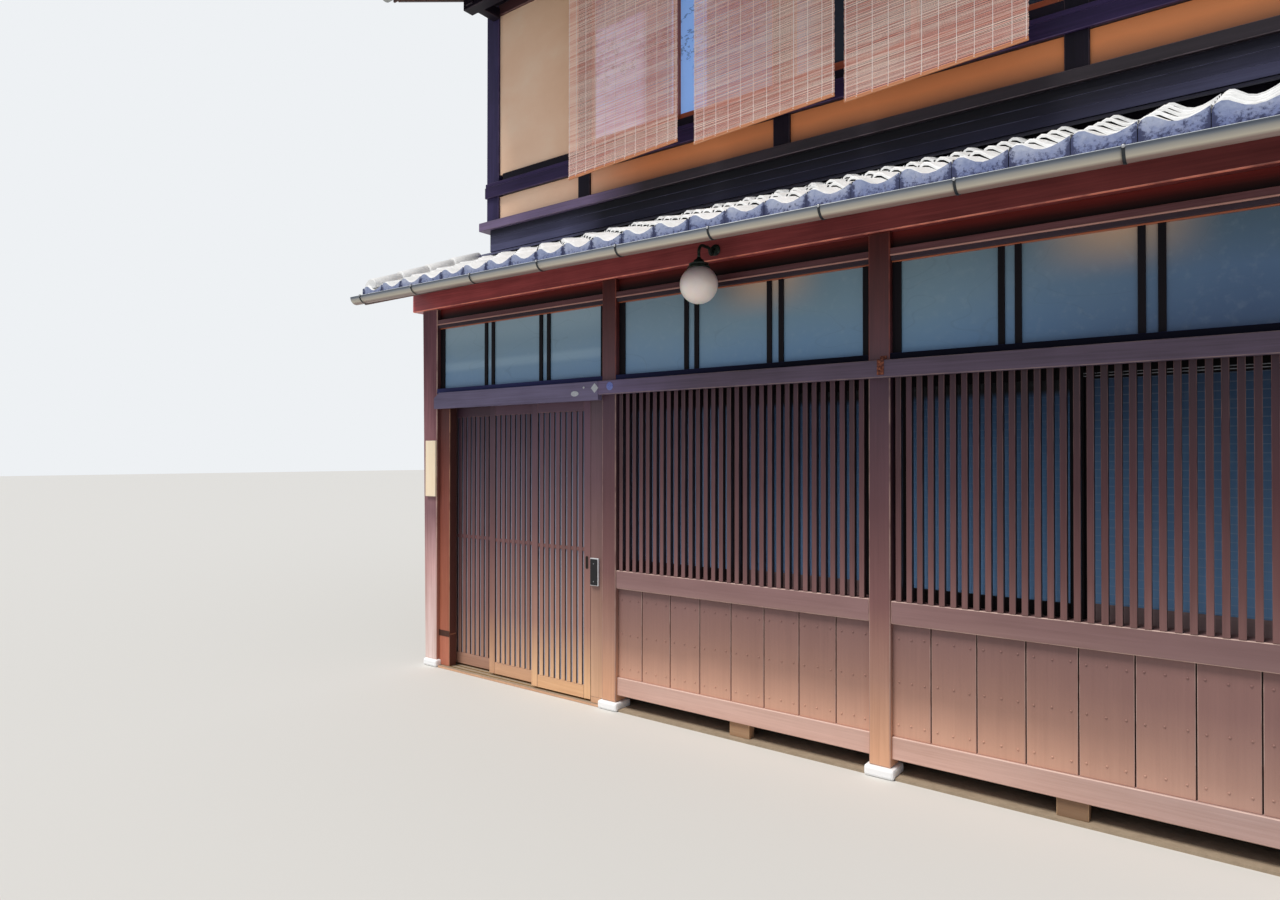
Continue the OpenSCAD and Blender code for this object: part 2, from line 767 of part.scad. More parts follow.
module upper_front_boards() {
    color("#3a3236") from_street() {
        // Beam under the upper wall, whose face is the dark board
        timber([-side_x, side_x], [upper_y, upper_y + wall_t], [z_floor_beam, z_sill]);
        // Sill board, which reaches past the corners
        timber([-side_x - post_w, side_x + post_w], [upper_y - sill_proud, upper_y + wall_t],
            [z_sill, z_strip]);
        // Top plates, front and rear
        timber([-side_x, side_x], [upper_y, upper_y + wall_t], [z_plate, z_plate_top]);
        timber([-side_x, side_x], [house_d - post_w, house_d], [z_plate, z_plate_top]);
        // Rear ground sill
        for (x = rear_bays) timber([x - bay_clear / 2, x + bay_clear / 2],
            [house_d - post_w, house_d], [stone_h, rail_gap]);
        // Flashing along the top of the lower roof
        translate([-flashing_half, 0, 0]) rotate([90, 0, 90]) linear_extrude(2 * flashing_half)
            polygon([[flashing_y, tile_top(flashing_y)], [upper_y, tile_top(upper_y)],
                [upper_y, z_floor - 4], [flashing_y, z_floor - 50]]);
        // Long board across the posts at the window rail
        timber([-side_x - 8, side_x + 8], [upper_y - window_board_t, upper_y],
            [z_window_rail, z_window - recess_h]);
        // Window rail and head rail between the posts
        for (span = upper_spans) {
            timber(span, [upper_y, upper_y + wall_t], [z_window_rail, z_window]);
            timber(span, [upper_y, upper_y + wall_t], [z_upper_head, z_top_strip]);
        }
    }
}

mid_post_in = mid_post_x - mid_post_w / 2;
mid_post_far = mid_post_x + mid_post_w / 2;
upper_spans = [
    [-upper_in, -mid_post_far], [-mid_post_in, -mid_post_w / 2],
    [mid_post_w / 2, mid_post_in], [mid_post_far, upper_in]
];
plaster_y = upper_y + 20;
plaster_t = wall_t - 40;

module plaster_panels() {
    color("#c99a63") from_street() {
        for (span = upper_spans) {
            timber(span, [plaster_y, plaster_y + plaster_t], [z_strip, z_window_rail]);
            timber(span, [plaster_y, plaster_y + plaster_t], [z_top_strip, z_plate]);
        }
        for (i = [0, 3]) {
            timber(upper_spans[i], [plaster_y, plaster_y + plaster_t], [z_window, z_upper_head]);
        }
    }
}

// Two sashes in each of the two upper window bays
module upper_sashes() {
    for (i = [1, 2]) {
        span = upper_spans[i];
        middle = (span[0] + span[1]) / 2;
        $z = [z_window, z_upper_head];
        let ($span = [span[0], middle + sash_w / 2], $y = upper_y + 24) children();
        let ($span = [middle - sash_w / 2, span[1]], $y = upper_y + 28 + sash_t) children();
    }
}

module upper_window_frames() {
    color("#8a4630") from_street() upper_sashes() sash($span, $y, $z, sash_w, sash_w + 24, sash_t);
}

module upper_glass() {
    color("lightblue") from_street() {
        upper_sashes() pane($span, $y, $z, sash_w, sash_w + 24, sash_t);
        rear_windows(1) pane($span, $y, $z, sash_w, sash_w, sash_t);
    }
}

// Reed blinds, hung by short cords from the outer beam
beam_top = main_under(upper_y - outer_beam_out);
blind_x = [-1152, -18, 1042];
blind_y = upper_y - blind_out;
blind_cord = 110;
blind_batten = 20;
blind_top = beam_top - outer_beam_h - blind_cord;
module reed_blinds() {
    color("#9a5a45") from_street() for (x = blind_x) {
        side = [x - blind_w / 2, x + blind_w / 2];
        timber(side, [blind_y, blind_y + blind_t], [blind_top - blind_h, blind_top]);
        for (z = [blind_top - blind_h, blind_top - blind_batten]) {
            timber(side, [blind_y - blind_t, blind_y + 2 * blind_t], [z, z + blind_batten]);
        }
        for (s = [-1, 1]) {
            translate([x + s * (blind_w / 2 - 60), blind_y + blind_t / 2, blind_top])
                cylinder(h = blind_cord, d = blind_t, $fn = 16);
        }
    }
}

module upper_floor() {
    color("peru") from_street() timber([-wall_in, wall_in],
        [upper_y + wall_t, house_d - post_w], [z_floor - upper_floor_t, z_floor]);
}

// Side walls of the two-storey part, with their gables
module party_walls() {
    y0 = upper_y + wall_t;
    y1 = house_d - post_w;
    color("#3f2a22") from_street() for (x = [-side_x, wall_in]) {
        translate([x, 0, 0]) rotate([90, 0, 90]) linear_extrude(side_wall_t) polygon([
            [y0, earth_t], [y1 - stone_step, earth_t], [y1 - stone_step, stone_h], [y1, stone_h],
            [y1, main_under(y1) + rafter_h - seat],
            [ridge_y, main_under(ridge_y) + rafter_h - seat],
            [y0, main_under(y0) + rafter_h - seat]
        ]);
    }
}

// Side walls of the single-storey part, under the lower roof
module low_side_walls() {
    y1 = upper_y + wall_t;
    color("#3f2a22") from_street() for (x = [-side_x, wall_in]) {
        translate([x, 0, 0]) rotate([90, 0, 90]) linear_extrude(side_wall_t) polygon([
            [post_w, stone_h], [post_w + stone_step, stone_h], [post_w + stone_step, earth_t],
            [y1, earth_t], [y1, z_floor_beam], [upper_y, z_floor_beam],
            [upper_y, lower_under(upper_y) + rafter_h - seat],
            [post_w, lower_under(post_w) + rafter_h - seat]
        ]);
    }
}

// Rear posts, the full height of the house
module rear_posts() {
    color("#3a2a2c") from_street()
        for (x = post_lines) post(x, house_d - post_w, [stone_h, z_plate]);
}

// Rear windows: one to a bay on each storey
rear_sill = [rear_sill_h, z_floor + upper_sill_h];
rear_bays = [-bay_w, 0, bay_w];
rear_face = 15;
rear_sash_y = house_d - post_w + rear_face;
module rear_windows(storey) {
    for (x = rear_bays) {
        $z = [rear_sill[storey], rear_sill[storey] + rear_h];
        let ($span = [x - rear_w / 2, x + sash_w / 2], $y = rear_sash_y + sash_t + sash_gap) children();
        let ($span = [x - sash_w / 2, x + rear_w / 2], $y = rear_sash_y) children();
    }
}

module rear_wall() {
    y = [house_d - post_w + rear_face, house_d - rear_face];
    color("#c99a63") from_street() for (x = rear_bays) difference() {
        timber([x - bay_clear / 2, x + bay_clear / 2], y, [rail_gap, z_plate]);
        for (z = rear_sill) {
            timber([x - rear_w / 2, x + rear_w / 2], [y[0] - 1, y[1] + 1], [z, z + rear_h]);
        }
    }
}

module rear_window_frames() {
    color("#33231f") from_street() for (i = [0, 1]) {
        rear_windows(i) sash($span, $y, $z, sash_w, sash_w, sash_t);
    }
}

// Outer beam of the main eave on its bracket arms
module outer_beams() {
    y = upper_y - outer_beam_out;
    arm_top = beam_top - outer_beam_h;
    color("#3a2a2c") from_street() {
        timber([-roof_len / 2 + rafter_w, roof_len / 2 - rafter_w], [y, y + outer_beam_w],
            [arm_top, beam_top]);
        for (x = [corner_w / 2 - side_x, -mid_post_x, 0, mid_post_x, side_x - corner_w / 2]) {
            timber([x - arm_w / 2, x + arm_w / 2], [y - 0.6 * outer_beam_w, upper_y],
                [arm_top - arm_h, arm_top]);
        }
    }
}

// The front slope, and the rear slope as its mirror about the ridge
module main_slope() {
    children();
    translate([0, 2 * ridge_y, 0]) mirror([0, 1, 0]) children();
}

module main_roof_frames() {
    color("#3f2a22") from_street() main_slope()
        translate([0, upper_y - main_eave, main_under(upper_y - main_eave)]) {
            roof_panel(main_run, main_pitch);
            eave_board(main_pitch);
        }
}

// Places of the low edges of the two roofs' tiles
module on_lower_eave() {
    translate([0, -lower_eave - deck_t, lower_under(-lower_eave - deck_t) + roof_layers]) children();
}
module on_main_eaves() {
    y = upper_y - main_eave - deck_t;
    main_slope() translate([0, y, main_under(y) + roof_layers]) children();
}

module roof_tiles() {
    color("lightslategray") from_street() {
        on_lower_eave() tile_sheet(lower_run + deck_t, lower_pitch);
        on_main_eaves() tile_sheet(main_run + deck_t, main_pitch);
    }
}

module eave_tiles() {
    color("lightslategray") from_street() {
        on_lower_eave() eave_row();
        on_main_eaves() eave_row();
    }
}

ridge_z = main_under(ridge_y) + roof_layers + tile_base + tile_roll;
ridge_foot = 150;
ridge_end_t = 60;
ridge_end_out = 35;

// Section of the ridge, whose foot lies on the rolls of both slopes
module ridge_section(out) {
    foot = ridge_foot + out;
    polygon([[-foot, -foot * main_pitch], [0, 0], [foot, -foot * main_pitch],
        [ridge_w / 2 + out, ridge_h], [-ridge_w / 2 - out, ridge_h]]);
    translate([0, ridge_h]) circle(r = ridge_cap_r + out, $fn = 48);
}

// Stacked ridge under its round cap, with a larger end tile at each gable
module ridge_tiles() {
    color("slategray") from_street() translate([-roof_len / 2, ridge_y, ridge_z]) rotate([90, 0, 90]) {
        linear_extrude(roof_len) ridge_section(0);
        for (x = [0, roof_len - ridge_end_t])
            translate([0, 0, x]) linear_extrude(ridge_end_t) ridge_section(ridge_end_out);
    }
}

// Round tiles that lie on the rolls along the edges of a roof
module verge_row(run, pitch) {
    slope = atan(pitch);
    long = run / cos(slope);
    for (s = [-1, 1])
        translate([s * (roof_len / 2 - verge_r), 0, tile_base + (s > 0 ? tile_seam : tile_roll)])
        rotate([slope, 0, 0]) translate([0, long, 0]) rotate([90, 0, 0]) linear_extrude(long)
            intersection() {
                circle(r = verge_r, $fn = 32);
                translate([-verge_r, 0]) square([2 * verge_r, verge_r]);
            }
}

module verge_tiles() {
    color("slategray") from_street() {
        on_lower_eave() verge_row(flashing_y + lower_eave + deck_t, lower_pitch);
        on_main_eaves() verge_row(main_run + deck_t - ridge_foot - ridge_end_out, main_pitch);
    }
}

stone_bases();
earth_floor();
entrance_posts();
front_posts();
front_rails();
sill_blocks();
wainscot_boards();
lattice_centre();
lattice_right();
upper_rail();
door_frame();
door_threshold();
door_leaf_left();
door_leaf_middle();
door_leaf_right();
door_glass_left();
door_glass_middle();
door_glass_right();
door_plates();
shop_window_frames();
frosted_glass();
transom_frames();
eave_beam();
lower_roof_frame();
gutters();
lamp_bracket();
lamp_globe();
upper_posts();
upper_front_boards();
plaster_panels();
upper_window_frames();
upper_glass();
reed_blinds();
upper_floor();
party_walls();
low_side_walls();
rear_posts();
rear_wall();
rear_window_frames();
outer_beams();
main_roof_frames();
roof_tiles();
eave_tiles();
ridge_tiles();
verge_tiles();
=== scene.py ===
import math
import random

import bmesh
import bpy
from mathutils import Matrix, Vector


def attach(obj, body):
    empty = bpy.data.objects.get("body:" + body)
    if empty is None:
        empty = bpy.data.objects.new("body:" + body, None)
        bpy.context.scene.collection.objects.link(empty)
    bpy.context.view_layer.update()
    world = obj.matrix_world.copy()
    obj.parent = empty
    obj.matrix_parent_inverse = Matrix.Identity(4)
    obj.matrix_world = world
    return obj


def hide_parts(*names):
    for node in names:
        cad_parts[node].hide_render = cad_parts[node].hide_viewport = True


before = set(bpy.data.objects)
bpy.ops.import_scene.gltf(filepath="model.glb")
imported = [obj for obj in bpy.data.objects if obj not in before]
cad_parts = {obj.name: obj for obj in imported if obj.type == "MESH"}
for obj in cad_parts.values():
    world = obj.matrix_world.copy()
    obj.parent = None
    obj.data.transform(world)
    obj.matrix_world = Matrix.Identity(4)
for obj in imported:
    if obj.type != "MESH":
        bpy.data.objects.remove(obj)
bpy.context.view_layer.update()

# The studio: a pale floor, an even sky and one broad lamp high over the street. The camera
# stands across the street at eye height and looks along the front, as the photographer did.


class Wire:
    """One output of a node. Arithmetic on it adds Math nodes to its graph."""

    def __init__(self, graph, socket):
        self.graph = graph
        self.socket = socket

    def maths(self, operation, other=0.0, swap=False):
        pair = (other, self) if swap else (self, other)
        return self.graph.node("ShaderNodeMath", {"operation": operation}, {0: pair[0], 1: pair[1]})

    def __add__(self, other):
        return self.maths("ADD", other)

    def __sub__(self, other):
        return self.maths("SUBTRACT", other)

    def __rsub__(self, other):
        return self.maths("SUBTRACT", other, True)

    def __mul__(self, other):
        return self.maths("MULTIPLY", other)

    def __truediv__(self, other):
        return self.maths("DIVIDE", other)

    def __mod__(self, other):
        return self.maths("FLOORED_MODULO", other)

    def __gt__(self, other):
        return self.maths("GREATER_THAN", other)

    def __lt__(self, other):
        return self.maths("LESS_THAN", other)

    __radd__ = __add__
    __rmul__ = __mul__

    def held(self):
        return self.graph.node("ShaderNodeClamp", {}, {0: self})

    def parts(self):
        made = self.graph.node("ShaderNodeSeparateXYZ", {}, {0: self})
        return [Wire(self.graph, s) for s in made.socket.node.outputs]


class Graph:
    """A node tree that is built by one node-making method."""

    def __init__(self, tree):
        self.tree = tree

    def node(self, kind, settings, inputs, out=0):
        made = self.tree.nodes.new(kind)
        for key, value in settings.items():
            if key == "stops":
                while len(made.color_ramp.elements) < len(value):
                    made.color_ramp.elements.new(0.5)
                for element, (place, colour) in zip(made.color_ramp.elements, value):
                    element.position, element.color = place, colour
            else:
                setattr(made, key, value)
        for key, value in inputs.items():
            if isinstance(value, Wire):
                self.tree.links.new(value.socket, made.inputs[key])
            else:
                made.inputs[key].default_value = value
        return Wire(self, made.outputs[out])


def hue(text):
    """Linear colour of a web colour."""
    parts = [int(text[i : i + 2], 16) / 255 for i in (1, 3, 5)]
    return (*[c / 12.92 if c <= 0.04045 else ((c + 0.055) / 1.055) ** 2.4 for c in parts], 1)


class Finish(Graph):
    """A material round one Principled shader."""

    def __init__(self, name):
        self.material = bpy.data.materials.new(name)
        self.material.use_nodes = True
        super().__init__(self.material.node_tree)
        self.shader = self.tree.nodes["Principled BSDF"]

    def place(self):
        return self.node("ShaderNodeTexCoord", {}, {}, "Object")

    def stretched(self, where, scale):
        return self.node("ShaderNodeVectorMath", {"operation": "MULTIPLY"}, {0: where, 1: scale})

    def shifted(self, where, by):
        return self.node("ShaderNodeVectorMath", {"operation": "ADD"}, {0: where, 1: by})

    def noise(self, where, scale, detail=3.0, rough=0.55):
        return self.node("ShaderNodeTexNoise", {}, {"Vector": where, "Scale": scale, "Detail": detail,
                                                    "Roughness": rough}, "Fac")

    def ramp(self, share, *stops):
        shades = [(at, hue(shade) if isinstance(shade, str) else shade) for at, shade in stops]
        return self.node("ShaderNodeValToRGB", {"stops": shades}, {0: share})

    def step(self, value, low, high):
        return self.node("ShaderNodeMapRange", {"interpolation_type": "SMOOTHSTEP"},
                         {0: value, 1: low, 2: high, 3: 0.0, 4: 1.0})

    def blend(self, share, a, b):
        a, b = [hue(shade) if isinstance(shade, str) else shade for shade in (a, b)]
        return self.node("ShaderNodeMix", {"data_type": "RGBA"}, {0: share, 6: a, 7: b}, 2)

    def relief(self, height, depth):
        return self.node("ShaderNodeBump", {}, {"Strength": 1.0, "Distance": depth, "Height": height})

    def attribute(self, name, out="Fac"):
        return self.node("ShaderNodeAttribute", {"attribute_name": name}, {}, out)

    def surface(self, **sockets):
        for name, value in sockets.items():
            socket = self.shader.inputs[name.replace("_", " ")]
            if isinstance(value, Wire):
                self.tree.links.new(value.socket, socket)
            else:
                socket.default_value = value


floor_finish = Finish("pale_floor")
floor_finish.surface(Base_Color=hue("#d6d4cf"), Roughness=0.9)
bpy.ops.mesh.primitive_plane_add(size=160, location=(0, 0, 0))
studio_floor = bpy.context.object
studio_floor.name = "studio_floor"
studio_floor.data.materials.append(floor_finish.material)

world = bpy.data.worlds.new("studio_sky")
bpy.context.scene.world = world
world.use_nodes = True
sky = Graph(world.node_tree)
sky_lamp = world.node_tree.nodes["Background"]
sky_lamp.inputs[0].default_value = (0.80, 0.87, 1.0, 1)
sky_lamp.inputs[1].default_value = 0.45
seen = sky.node("ShaderNodeLightPath", {}, {}, "Is Camera Ray")
backdrop = sky.node("ShaderNodeBackground", {}, {0: hue("#eef1f4"), 1: 1.0})
both = sky.node("ShaderNodeMixShader", {}, {0: seen, 1: Wire(sky, sky_lamp.outputs[0]), 2: backdrop})
world.node_tree.links.new(both.socket, world.node_tree.nodes["World Output"].inputs[0])

lamp_data = bpy.data.lights.new("high_lamp", "SUN")
lamp_data.energy = 2.8
lamp_data.angle = math.radians(20)
lamp_data.color = (1.0, 0.965, 0.91)
high_lamp = bpy.data.objects.new("high_lamp", lamp_data)
bpy.context.scene.collection.objects.link(high_lamp)
high_lamp.rotation_euler = Vector((-0.22, -0.50, 1)).to_track_quat("Z", "Y").to_euler()

camera_data = bpy.data.cameras.new("street_view")
camera_data.lens = 22.758
camera_data.sensor_width = 36.0
camera_data.clip_end = 300
camera = bpy.data.objects.new("street_view", camera_data)
bpy.context.scene.collection.objects.link(camera)
camera.location = (2.4853, -7.7106, 1.6507)
camera.rotation_euler = (math.radians(90.475), math.radians(-0.045), math.radians(37.622))
bpy.context.scene.camera = camera
bpy.context.scene.view_settings.view_transform = "Standard"

# Foundation stones: white dressed granite, a chamfered block under each post, set on the
# ground before the frame goes up. The beaten-earth floor lies between them.

front = -3.64
bay = 1.82
post_w = 0.115
post_x = [-1.5 * bay, -bay / 2, bay / 2, 1.5 * bay]
bays = [(a + post_w / 2, b - post_w / 2) for a, b in zip(post_x, post_x[1:])]
rear_y = 7.28
stone_top = 0.055
stone_lip = 0.022
earth_top = 0.014


def beam(x, y, z):
    """A straight member between two corners: its size, and where it goes. y is measured back from
    the post faces."""
    size = (x[1] - x[0], y[1] - y[0], z[1] - z[0])
    middle = Vector(((x[0] + x[1]) / 2, (y[0] + y[1]) / 2 + front, (z[0] + z[1]) / 2))
    return size, Matrix.Translation(middle)


def joinery(name, members, arris, finish, seed=1, steps=1):
    """One mesh of separate members, all their edges eased. Each member carries its own grain
    coordinates, a lucky number, and marks on its eased edges and on its left and right faces."""
    mesh = bmesh.new()
    number = mesh.faces.layers.int.new("number")
    for i, (size, _) in enumerate(members):
        made = bmesh.ops.create_cube(mesh, size=1.0)
        bmesh.ops.scale(mesh, vec=size, verts=made["verts"])
        for face in {f for v in made["verts"] for f in v.link_faces}:
            face[number] = i
    mesh.normal_update()
    rounded = set()
    if arris:
        made = bmesh.ops.bevel(mesh, geom=mesh.edges[:], offset=arris, segments=steps, profile=0.5,
                               affect="EDGES", clamp_overlap=True)
        rounded = set(made["faces"])
    grain = mesh.loops.layers.float_vector.new("grain")
    luck = mesh.loops.layers.float.new("luck")
    worn = mesh.loops.layers.float.new("worn")
    flank = mesh.loops.layers.float.new("flank")
    draw = random.Random(seed)
    lucks = [draw.random() for _ in members]
    for face in mesh.faces:
        size = members[face[number]][0]
        order = sorted(range(3), key=lambda k: -size[k])
        for loop in face.loops:
            loop[grain] = Vector([loop.vert.co[k] for k in order])
            loop[luck] = lucks[face[number]]
            loop[worn] = 1.0 if face in rounded else 0.0
            loop[flank] = 1.0 if abs(face.normal.x) > 0.8 and face not in rounded else 0.0
    for vert in mesh.verts:
        vert.co = members[vert.link_faces[0][number]][1] @ vert.co
    return shown(name, mesh, finish)


def shown(name, mesh, finish, smooth=False):
    """The finished object of a bmesh."""
    data = bpy.data.meshes.new(name)
    mesh.to_mesh(data)
    mesh.free()
    piece = bpy.data.objects.new(name, data)
    bpy.context.scene.collection.objects.link(piece)
    data.materials.append(finish.material)
    if smooth:
        data.shade_smooth()
    return piece


stone = Finish("dressed_granite")
speck = stone.noise(stone.place(), 220.0, 2.0)
stain = stone.noise(stone.place(), 9.0, 4.0)
stone.surface(
    Base_Color=stone.blend(stain, "#f8f9fa", "#ffffff"),
    Roughness=0.8, Normal=stone.relief(speck + stain, 0.0012))
stone_half = post_w / 2 + stone_lip
stones = joinery("foundation_stones", [
    beam((x - stone_half, x + stone_half), (y - stone_lip, y + post_w + stone_lip), (0, stone_top))
    for x in post_x for y in (0, rear_y - post_w)], 0.014, stone, 3, 2)
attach(stones, "house")
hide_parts("stone_bases")


def speckled(name, scale, detail, dark, light, rough, sheen=0.0, depth=0.0, stretch=None, **constants):
    """Finish of one kind of speck, which runs from the dark tone to the light one. The light ones
    are rougher by sheen and stand up by depth."""
    made = Finish(name)
    where = made.stretched(made.place(), stretch) if stretch else made.place()
    speck = made.noise(where, scale, detail)
    made.surface(Base_Color=made.blend(speck, dark, light), **constants,
                 Roughness=speck * sheen + rough if sheen else rough)
    if depth:
        made.surface(Normal=made.relief(speck, depth))
    return made


def coated(finish, *names):
    """Puts a finish on nodes of the frame."""
    for name in names:
        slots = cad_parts[name].data.materials
        slots.clear()
        slots.append(finish.material)


coated(speckled("beaten_earth", 26.0, 6.0, "#8d7b66", "#b3a18a", 0.95, depth=0.004), "earth_floor")

# Front posts: planed softwood, painted a matt purple-brown up to the long upper rail and left
# in red-brown stain above it, with eased corners. They stand on their stones.


def timber(name, stops, edge, roughness=0.62, jointed=True, contrast=1.0, shine=0.5, flank=None,
           far=None, across=(), jitter=0.02):
    """Finish of a timber: fine streaks along the grain between a dark and a light tone, and a
    lighter edge, part wear and part painted highlight. stops gives the two tones at one height or
    more, which paints light and shade by height: a foot made lighter by dust and painted bounce
    light from the ground, and a top darkened with painted shade. far gives them in painted shade
    where across, a list of places along the front and shares, says so. flank gives the tone of the
    left and right faces, which the lamp doesn't reach. A mesh that joinery didn't make isn't
    jointed: its grain runs along the front."""
    wood = Finish(name)
    place = wood.place()
    luck = wood.attribute("luck") if jointed else 0.5
    where = wood.shifted(wood.attribute("grain", "Vector"), luck * 37.0) if jointed else (
        wood.shifted(place, (18.5, 18.5, 18.5)))
    fibre = wood.noise(wood.stretched(where, (2.2, 90.0, 90.0)), 1.0, 4.0, 0.6)
    figure = wood.noise(wood.stretched(where, (0.9, 11.0, 11.0)), 1.0, 3.0)
    cloud = wood.noise(place, 2.4, 3.0)
    mixed = (fibre - 0.5) * 0.9 + (figure - 0.5) * 0.9 + (cloud - 0.5) * 0.7 + (luck - 0.5) * 0.45
    tone = mixed * contrast + 0.5
    height = place.parts()[2] / 6.0 + (cloud - 0.5) * jitter

    def toned(heights, k):
        if len(heights) == 1:
            return heights[0][k]
        return wood.ramp(height, *[(stop[0] / 6.0, stop[k]) for stop in heights])

    colour = wood.blend(tone.held(), toned(stops, 1), toned(stops, 2))
    if far:
        share = wood.ramp((place.parts()[0] + 3.0) / 6.0,
                          *[((at + 3.0) / 6.0, (s, s, s, 1)) for at, s in across])
        colour = wood.blend(share, colour, wood.blend(tone.held(), toned(far, 1), toned(far, 2)))
    if jointed:
        rub = wood.step(wood.noise(wood.stretched(where, (9.0, 9.0, 9.0)), 1.0, 2.0), 0.3, 0.62)
        # Eased edges get a lighter tone, part wear and part painted highlight.
        colour = wood.blend(wood.attribute("worn") * (rub * 0.55 + 0.20), colour, edge)
    if flank:
        colour = wood.blend(wood.attribute("flank") * 0.85, colour, toned(flank, 1))
    wood.surface(Base_Color=colour, Roughness=(fibre * 0.16 + (roughness - 0.08)), Specular_IOR_Level=shine,
                 Normal=wood.relief(fibre + figure * 0.6, 0.0009))
    return wood


rail_top = 2.147
beam_foot = 2.814
# Both finishes are painted lighter toward the foot, by dust and painted bounce light from the ground, and
# darker toward the top with painted shade.
painted = timber("purple_brown_paint", [
    (0.12, "#c48e6e", "#ecb692"), (0.5, "#8f6657", "#ae8473"), (0.9, "#674240", "#805755"),
    (1.4, "#4c2c30", "#613d43"), (2.1, "#3a2533", "#513446")], "#a88a80", 0.6)
stained = timber("red_brown_stain", [
    (2.15, "#472c33", "#6a434a"), (2.5, "#341717", "#5c2826"), (2.8, "#341112", "#531d1b")], "#8a4436", 0.42)
for name, z, finish, seed in (("front_posts_painted", (stone_top, rail_top), painted, 5),
                              ("front_posts_stained", (rail_top, beam_foot), stained, 6)):
    piece = joinery(name, [beam((x - post_w / 2, x + post_w / 2), (0, post_w), z) for x in post_x[1:]],
                    0.006, finish, seed, 2)
    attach(piece, "house")
    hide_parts("front_posts")

# Corner post and door jamb: the oldest timbers of the entrance, bare and weathered. The jamb's
# foot is a piece of its own, held by an iron strap. The post spreads to the left toward its top.

# The foot is pale partly from weathering and partly from painted sunlight, and the top is darkened with
# painted shade.
weathered = timber("weathered_post", [
    (0.1, "#d7b6ab", "#ffede9"), (0.8, "#b1827f", "#eabfbc"), (1.2, "#785156", "#a78086"),
    (1.9, "#6a3d45", "#9e6d73"), (2.6, "#5a2d38", "#8a525e")], "#d9b8a8", 0.66, contrast=1.35, flank=[
    (0.15, "#b5684c"), (0.6, "#9f573e"), (1.2, "#844638"), (1.9, "#582a26"), (2.6, "#3c1b1c")])
corner_post = joinery("corner_post", [
    beam((post_x[0] - post_w / 2, post_x[0] + post_w / 2), (0, post_w), (stone_top, beam_foot))],
    0.006, weathered, 21, 2)
foot_spread = 0.020
spread_per_metre = 0.016
for vert in corner_post.data.vertices:
    if vert.co.x < post_x[0]:
        vert.co.x -= foot_spread + spread_per_metre * vert.co.z
# The jamb is painted lighter at its foot with painted bounce light and darker upward with painted shade.
jamb_wood = timber("jamb_timber", [
    (0.15, "#a3583e", "#c77a60"), (0.6, "#8d4831", "#b0664c"), (1.2, "#733628", "#954f3f"),
    (1.9, "#491e1b", "#66312f")], "#c99878", 0.62, contrast=1.2, flank=[(0, "#43201c")])
jamb_x = (-2.6735, -2.5505)
scarf_z = 0.262
jamb = joinery("door_jamb", [
    beam(jamb_x, (0.028, 0.098), z) for z in ((earth_top, scarf_z), (scarf_z + 0.0015, rail_top))],
    0.004, jamb_wood, 22)
iron = speckled("forged_iron", 60.0, 5.0, "#3b2c28", "#6a4334", 0.4, 0.3, 0.0006, Metallic=0.55)
jamb_strap = joinery("jamb_strap", [beam((-2.6720, -2.5485), (0.0255, 0.0285), (0.243, 0.289))] + [
    beam((x, x + 0.008), (0.0235, 0.0265), (scarf_z, scarf_z + 0.008)) for x in (-2.630, -2.579)],
    0.0012, iron, 23)
for piece in (corner_post, jamb, jamb_strap):
    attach(piece, "house")
    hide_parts("entrance_posts")

# Bottom and middle rails: two long timbers in each shop bay, tenoned between the posts and
# painted with them. The bottom rail hangs clear of the ground, propped on loose blocks.

shop_bays = bays[1:]
mid_rail_z = (0.794, 0.912)
bottom_rail_z = (0.100, 0.216)
# The bottom rail is painted lighter than the middle one with painted bounce light from the ground, and both
# darken toward the right with painted shade.
painted_rail = timber("purple_brown_rail", [
    (0.1, "#c49a8a", "#efc6b8"), (0.21, "#bb9586", "#e5c0b3"), (0.85, "#755552", "#92706f")],
    "#d6b8aa", 0.55, contrast=0.8, across=[(1.3, 0), (2.4, 1)], far=[
    (0.1, "#aa887e", "#d0afa8"), (0.21, "#a2837a", "#c7aaa4"), (0.85, "#694c4a", "#846565")])
rails = joinery("front_rails_eased", [
    beam(x, y, z) for x in shop_bays
    for y, z in (((0.016, 0.096), bottom_rail_z), ((0.005, 0.150), mid_rail_z))], 0.004, painted_rail, 8)
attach(rails, "house")
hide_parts("front_rails")

# The right-hand block is painted darker with painted shade.
straw = timber("pale_block", [(0, "#9a7151", "#b69677")], "#d8b48a", 0.75,
               far=[(0, "#7c5a40", "#93785f")], across=[(0.9, 0), (1.5, 1)])
blocks = joinery("rail_blocks", [
    beam((x - 0.066, x + 0.066), (0.034, 0.096), (earth_top, bottom_rail_z[0])) for x in (0.054, 1.793)],
    0.003, straw, 9)
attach(blocks, "house")
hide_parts("sill_blocks")

# Wainscot: eight upright boards in each shop bay, nailed near both edges and down the middle
# at three heights, and painted over, nail heads and all.

end_board = 0.195
groove = 0.006
board_z = (bottom_rail_z[1], mid_rail_z[0])
board_face = 0.030
bay_inside = bays[1][1] - bays[1][0]
inner_pitch = (bay_inside - 2 * end_board) / 6
joints = [0.0] + [end_board + k * inner_pitch for k in range(7)] + [bay_inside]
board_spans = [(x[0] + low, x[0] + high) for x in shop_bays for low, high in zip(joints, joints[1:])]
